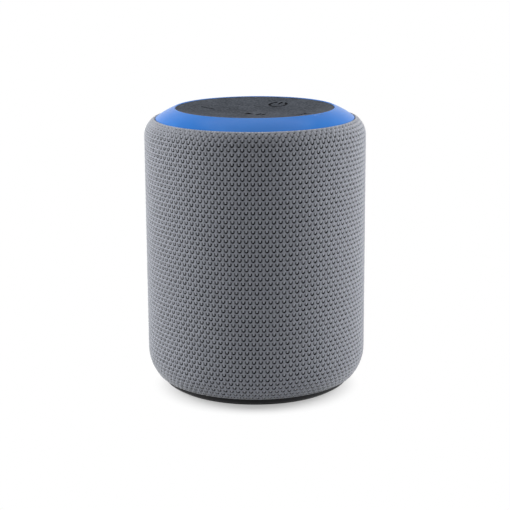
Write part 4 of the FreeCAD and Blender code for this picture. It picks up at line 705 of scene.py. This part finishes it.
# %% [markdown]
# ## The ring
#
# The ring is moulded and then sprayed with a blue satin lacquer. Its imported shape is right: a gently
# crowned top with a small round at each edge. What sells it is the finish. The colour is even and
# slightly cloudy, its reflections are soft and weak, and they have the faint ripple that sprayed
# lacquer has, called orange peel, about 2 mm from crest to crest.

# %% Ring finish


def sprayed_blue_lacquer():
    """Blue satin lacquer: soft, weak reflections with a faint ripple."""
    material, add = new_material("sprayed_blue_lacquer")
    place = add("ShaderNodeTexCoord", out="Object")
    cloud = add("ShaderNodeTexNoise", {"Vector": place, "Scale": 1 / (9 * MM), "Detail": 2.0})
    colour = {0: cloud, 6: linear("1C64B4"), 7: linear("2470C0")}
    colour = add("ShaderNodeMix", colour, out=2, data_type="RGBA")
    peel = add("ShaderNodeTexNoise", {"Vector": place, "Scale": 1 / (2 * MM), "Detail": 1.0})
    relief = add("ShaderNodeBump", {"Height": peel, "Distance": 0.006 * MM, "Strength": 0.5})
    finish = {"Base Color": colour, "Roughness": 0.25, "Normal": relief, "Specular IOR Level": 0.10}
    add("ShaderNodeOutputMaterial", {"Surface": add("ShaderNodeBsdfPrincipled", finish)})
    return material


# %% [markdown]
# ## Mouldings
#
# The frame, the cabinet and the sleeve are ABS from steel moulds whose faces were spark-eroded. That
# leaves a fine pebbled grain, about 0.15 mm across, which breaks up reflections. The socket panel
# has the same finish in a slightly warmer black. Its edges and those of the base cover show, so both
# get a small round. The cover's rim is drawn in a little, so that a dark line shows under the hem.

# %% ABS and the visible mouldings


def spark_eroded_abs(name="spark_eroded_abs", dark="101012", pale="1C1C1F"):
    """Black ABS with a pebbled grain: a wide dull highlight."""
    material, add = new_material(name)
    place = add("ShaderNodeTexCoord", out="Object")
    pebble = add("ShaderNodeTexVoronoi", {"Vector": place, "Scale": 1 / (0.15 * MM)}, feature="SMOOTH_F1")
    cloud = add("ShaderNodeTexNoise", {"Vector": place, "Scale": 1 / (20 * MM)})
    colour = {0: cloud, 6: linear(dark), 7: linear(pale)}
    colour = add("ShaderNodeMix", colour, out=2, data_type="RGBA")
    relief = add("ShaderNodeBump", {"Height": pebble, "Distance": 0.015 * MM, "Strength": 0.5})
    finish = {"Base Color": colour, "Roughness": 0.48, "Normal": relief, "Specular IOR Level": 0.2}
    add("ShaderNodeOutputMaterial", {"Surface": add("ShaderNodeBsdfPrincipled", finish)})
    return material


black_abs = spark_eroded_abs()
base_plate = merged_copy("base_cover", "base_plate")
RIM_BAND, RIM_IN = 1.8 * MM, 1.2 * MM
rim_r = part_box("base_cover")[1].x
select_where(base_plate, "VERT", lambda c: math.hypot(c.x, c.y) > rim_r - RIM_BAND and c.z < hem_z * MM)
drawn_in = 1 - RIM_IN / rim_r
bpy.ops.transform.resize(value=(drawn_in, drawn_in, 1), center_override=(0, 0, 0))
bpy.ops.object.mode_set(mode="OBJECT")
bevel_edges(base_plate, 0.25)
dress(base_plate, black_abs, "black_abs", "base_cover")
socket_panel = merged_copy("port_panel", "socket_panel")
bevel_edges(socket_panel, 0.2, segments=3)
dress(socket_panel, spark_eroded_abs("eroded_panel_abs", "161617", "232325"), "panel_black", "port_panel")
print("base", len(base_plate.data.polygons), "panel", len(socket_panel.data.polygons), "faces")

# %% [markdown]
# ## Metals
#
# Metals differ by how they were made. Screws are tumbled in their zinc bath, so their shine is
# clouded. The magnet's plates are turned, which leaves rings about 0.3 mm apart round the axis.
# Shields and sockets are pressed from tinned sheet with faint rolling lines. Foil and stamped
# aluminium are soft and dented. All keep their own reflectance and only differ in roughness and relief.

# %% Metal finishes


def tumbled_metal(name, dark, pale, roughness, size):
    """A metal with clouds of tarnish of that size (mm)."""
    material, add = new_material(name)
    place = add("ShaderNodeTexCoord", out="Object")
    cloud = add("ShaderNodeTexNoise", {"Vector": place, "Scale": 1 / (size * MM), "Detail": 4.0})
    colour = {0: cloud, 6: linear(dark), 7: linear(pale)}
    colour = add("ShaderNodeMix", colour, out=2, data_type="RGBA")
    worn = {"Value": cloud, "To Min": roughness - 0.08, "To Max": roughness + 0.12}
    worn = add("ShaderNodeMapRange", worn)
    relief = add("ShaderNodeBump", {"Height": cloud, "Distance": 0.01 * MM, "Strength": 0.5})
    finish = {"Base Color": colour, "Metallic": 1.0, "Roughness": worn, "Normal": relief}
    add("ShaderNodeOutputMaterial", {"Surface": add("ShaderNodeBsdfPrincipled", finish)})
    return material


def zinc_plated_steel():
    return tumbled_metal("zinc_plated_steel", "A2A7AD", "C6CBD0", 0.32, 0.6)


def tinned_brass():
    return tumbled_metal("tinned_brass", "B7A86E", "D9CC96", 0.30, 0.8)


def soft_aluminium_foil():
    return tumbled_metal("soft_aluminium_foil", "C4C5C8", "DFE0E2", 0.28, 1.2)


def grooved_metal(name, dark, pale, kind, way, pitch, depth, roughness=0.3):
    """A metal with fine lines: kind and way are the wave's, pitch and depth in mm."""
    material, add = new_material(name)
    place = add("ShaderNodeTexCoord", out="Object")
    wave = {"wave_type": kind, "rings_direction" if kind == "RINGS" else "bands_direction": way}
    period = {"Vector": place, "Scale": math.pi / 10 / (pitch * MM), "Distortion": 0.4, "Detail": 2.0}
    line = add("ShaderNodeTexWave", period, out="Fac", **wave)
    colour = {0: line, 6: linear(dark), 7: linear(pale)}
    colour = add("ShaderNodeMix", colour, out=2, data_type="RGBA")
    relief = add("ShaderNodeBump", {"Height": line, "Distance": depth * MM, "Strength": 0.7})
    finish = {"Base Color": colour, "Metallic": 1.0, "Roughness": roughness, "Normal": relief}
    add("ShaderNodeOutputMaterial", {"Surface": add("ShaderNodeBsdfPrincipled", finish)})
    return material


def turned_bright_steel():
    return grooved_metal("turned_bright_steel", "9DA0A4", "C3C6CA", "RINGS", "Z", 0.3, 0.01)


def tinned_sheet_steel():
    return grooved_metal("tinned_sheet_steel", "BFC1C3", "D6D7D9", "BANDS", "X", 0.25, 0.004, 0.22)


def stamped_aluminium():
    return grooved_metal("stamped_aluminium", "AEB0B3", "CBCCCE", "BANDS", "Y", 0.35, 0.006, 0.38)


def enamelled_copper_wire():
    """The coil's wire is 0.2 mm thick, and its turns lie side by side."""
    return grooved_metal("enamelled_copper_wire", "8A3E18", "C9743A", "BANDS", "Z", 0.2, 0.06)


# %% [markdown]
# ## Plastics and boards
#
# What is left of the plastics is smooth or nearly so. Each has a base colour with a slow drift, a
# fine grain of its own size and a roughness of its own; PVC and nylon are shinier than epoxy. Paint,
# ferrite, rubber and black paper share the same recipe with other numbers.

# %% Plastic finishes


def plain_plastic(name, dark, pale, roughness, grain, depth=0.01):
    """An opaque plastic with a grain of that size and depth (mm)."""
    material, add = new_material(name)
    place = add("ShaderNodeTexCoord", out="Object")
    fine = add("ShaderNodeTexNoise", {"Vector": place, "Scale": 1 / (grain * MM), "Detail": 3.0})
    drift = add("ShaderNodeTexNoise", {"Vector": place, "Scale": 1 / (8 * MM)})
    colour = {0: drift, 6: linear(dark), 7: linear(pale)}
    colour = add("ShaderNodeMix", colour, out=2, data_type="RGBA")
    relief = add("ShaderNodeBump", {"Height": fine, "Distance": depth * MM, "Strength": 0.5})
    finish = {"Base Color": colour, "Roughness": roughness, "Normal": relief}
    add("ShaderNodeOutputMaterial", {"Surface": add("ShaderNodeBsdfPrincipled", finish)})
    return material


def moulded_epoxy():
    return plain_plastic("moulded_epoxy", "18181A", "26262A", 0.55, 0.12)


def natural_nylon():
    return plain_plastic("natural_nylon", "DDD5BC", "EDE7D3", 0.42, 0.5)


def moulded_black_nylon():
    return plain_plastic("moulded_black_nylon", "1E1E20", "2C2C2F", 0.45, 0.4)


def moulded_acetal():
    return plain_plastic("moulded_acetal", "E4E4DC", "F2F2EC", 0.35, 0.3)


def extruded_pvc():
    return plain_plastic("extruded_pvc", "8E1718", "B02523", 0.33, 0.6)


def shrunk_pvc_sleeve():
    return plain_plastic("shrunk_pvc_sleeve", "1F6E42", "2C8452", 0.25, 3.0, 0.05)


def stoved_black_paint():
    return plain_plastic("stoved_black_paint", "0E0E10", "18181A", 0.33, 1.0, 0.02)


def diffusing_acrylic():
    return plain_plastic("diffusing_acrylic", "E6EBE6", "F4F7F4", 0.30, 0.2)


def sintered_ferrite():
    return plain_plastic("sintered_ferrite", "2C2C30", "424248", 0.58, 0.2, 0.03)


def closed_cell_foam():
    return plain_plastic("closed_cell_foam", "161617", "242426", 0.92, 0.35, 0.12)


def smooth_butyl_rubber():
    return plain_plastic("smooth_butyl_rubber", "121213", "1C1C1E", 0.5, 0.6)


def pressed_black_paper():
    return plain_plastic("pressed_black_paper", "161618", "2A2A2C", 0.88, 0.5, 0.08)


# %% [markdown]
# The boards and the ribbon carry conductors, and the spider is woven cloth stiffened with resin. All
# three are drawn as raised lines at the real spacing of their conductors or threads.

# %% Boards, ribbon and woven cloth


def lined(name, ground, line, way, pitch, share, roughness):
    """Straight conductors or threads at a pitch (mm) along one axis, as raised lines."""
    material, add = new_material(name)
    place = add("ShaderNodeTexCoord", out="Object")
    wave = {"Vector": place, "Scale": math.pi / 10 / (pitch * MM)}
    wave = add("ShaderNodeTexWave", wave, out="Fac", wave_type="BANDS", bands_direction=way)
    edge = {"Value": wave, "From Min": 1 - share - 0.1, "From Max": 1 - share + 0.1}
    edge = add("ShaderNodeMapRange", edge)
    colour = {0: edge, 6: linear(ground), 7: linear(line)}
    colour = add("ShaderNodeMix", colour, out=2, data_type="RGBA")
    relief = add("ShaderNodeBump", {"Height": edge, "Distance": 0.03 * MM, "Strength": 0.8})
    finish = {"Base Color": colour, "Roughness": roughness, "Normal": relief}
    add("ShaderNodeOutputMaterial", {"Surface": add("ShaderNodeBsdfPrincipled", finish)})
    return material


def solder_resist_laminate():
    return lined("solder_resist_laminate", "0F4723", "1C6435", "X", 1.27, 0.35, 0.35)


def polyimide_film():
    return lined("polyimide_film", "A35E14", "C98A3C", "X", 0.5, 0.5, 0.28)


def resin_stiffened_cloth():
    return lined("resin_stiffened_cloth", "9A7230", "C79B52", "DIAGONAL", 0.5, 0.5, 0.8)


# %% [markdown]
# ## Dress the frame
#
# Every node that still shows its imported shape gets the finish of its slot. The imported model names
# each node's material after that slot, so one table from slot to finish dresses them all.

# %% Paint the nodes
FINISHES = {
    "zinc_steel": zinc_plated_steel(),
    "black_abs": black_abs,
    "seal_foam": closed_cell_foam(),
    "basket_steel": stoved_black_paint(),
    "bright_steel": turned_bright_steel(),
    "ferrite": sintered_ferrite(),
    "coil_former_foil": soft_aluminium_foil(),
    "copper_wire": enamelled_copper_wire(),
    "cone_paper": pressed_black_paper(),
    "surround_rubber": smooth_butyl_rubber(),
    "spider_cloth": resin_stiffened_cloth(),
    "tag_brass": tinned_brass(),
    "cast_plate": stamped_aluminium(),
    "cell_sleeve": shrunk_pvc_sleeve(),
    "strap_plastic": moulded_black_nylon(),
    "lead_pvc": extruded_pvc(),
    "board_laminate": solder_resist_laminate(),
    "tinned_steel": tinned_sheet_steel(),
    "component_black": moulded_epoxy(),
    "connector_nylon": natural_nylon(),
    "ribbon_film": polyimide_film(),
    "ring_blue": sprayed_blue_lacquer(),
    "pad_rubber": soft_touch_silicone("soft_touch_silicone", printed=False),
    "plunger_nylon": moulded_acetal(),
    "led_lens": diffusing_acrylic(),
}
dressed = 0
for node in NODES.values():
    slot = node.data.materials[0].name
    if slot in FINISHES:
        node.data.materials.clear()
        node.data.materials.append(FINISHES[slot])
        dressed += 1
print(dressed, "nodes dressed")
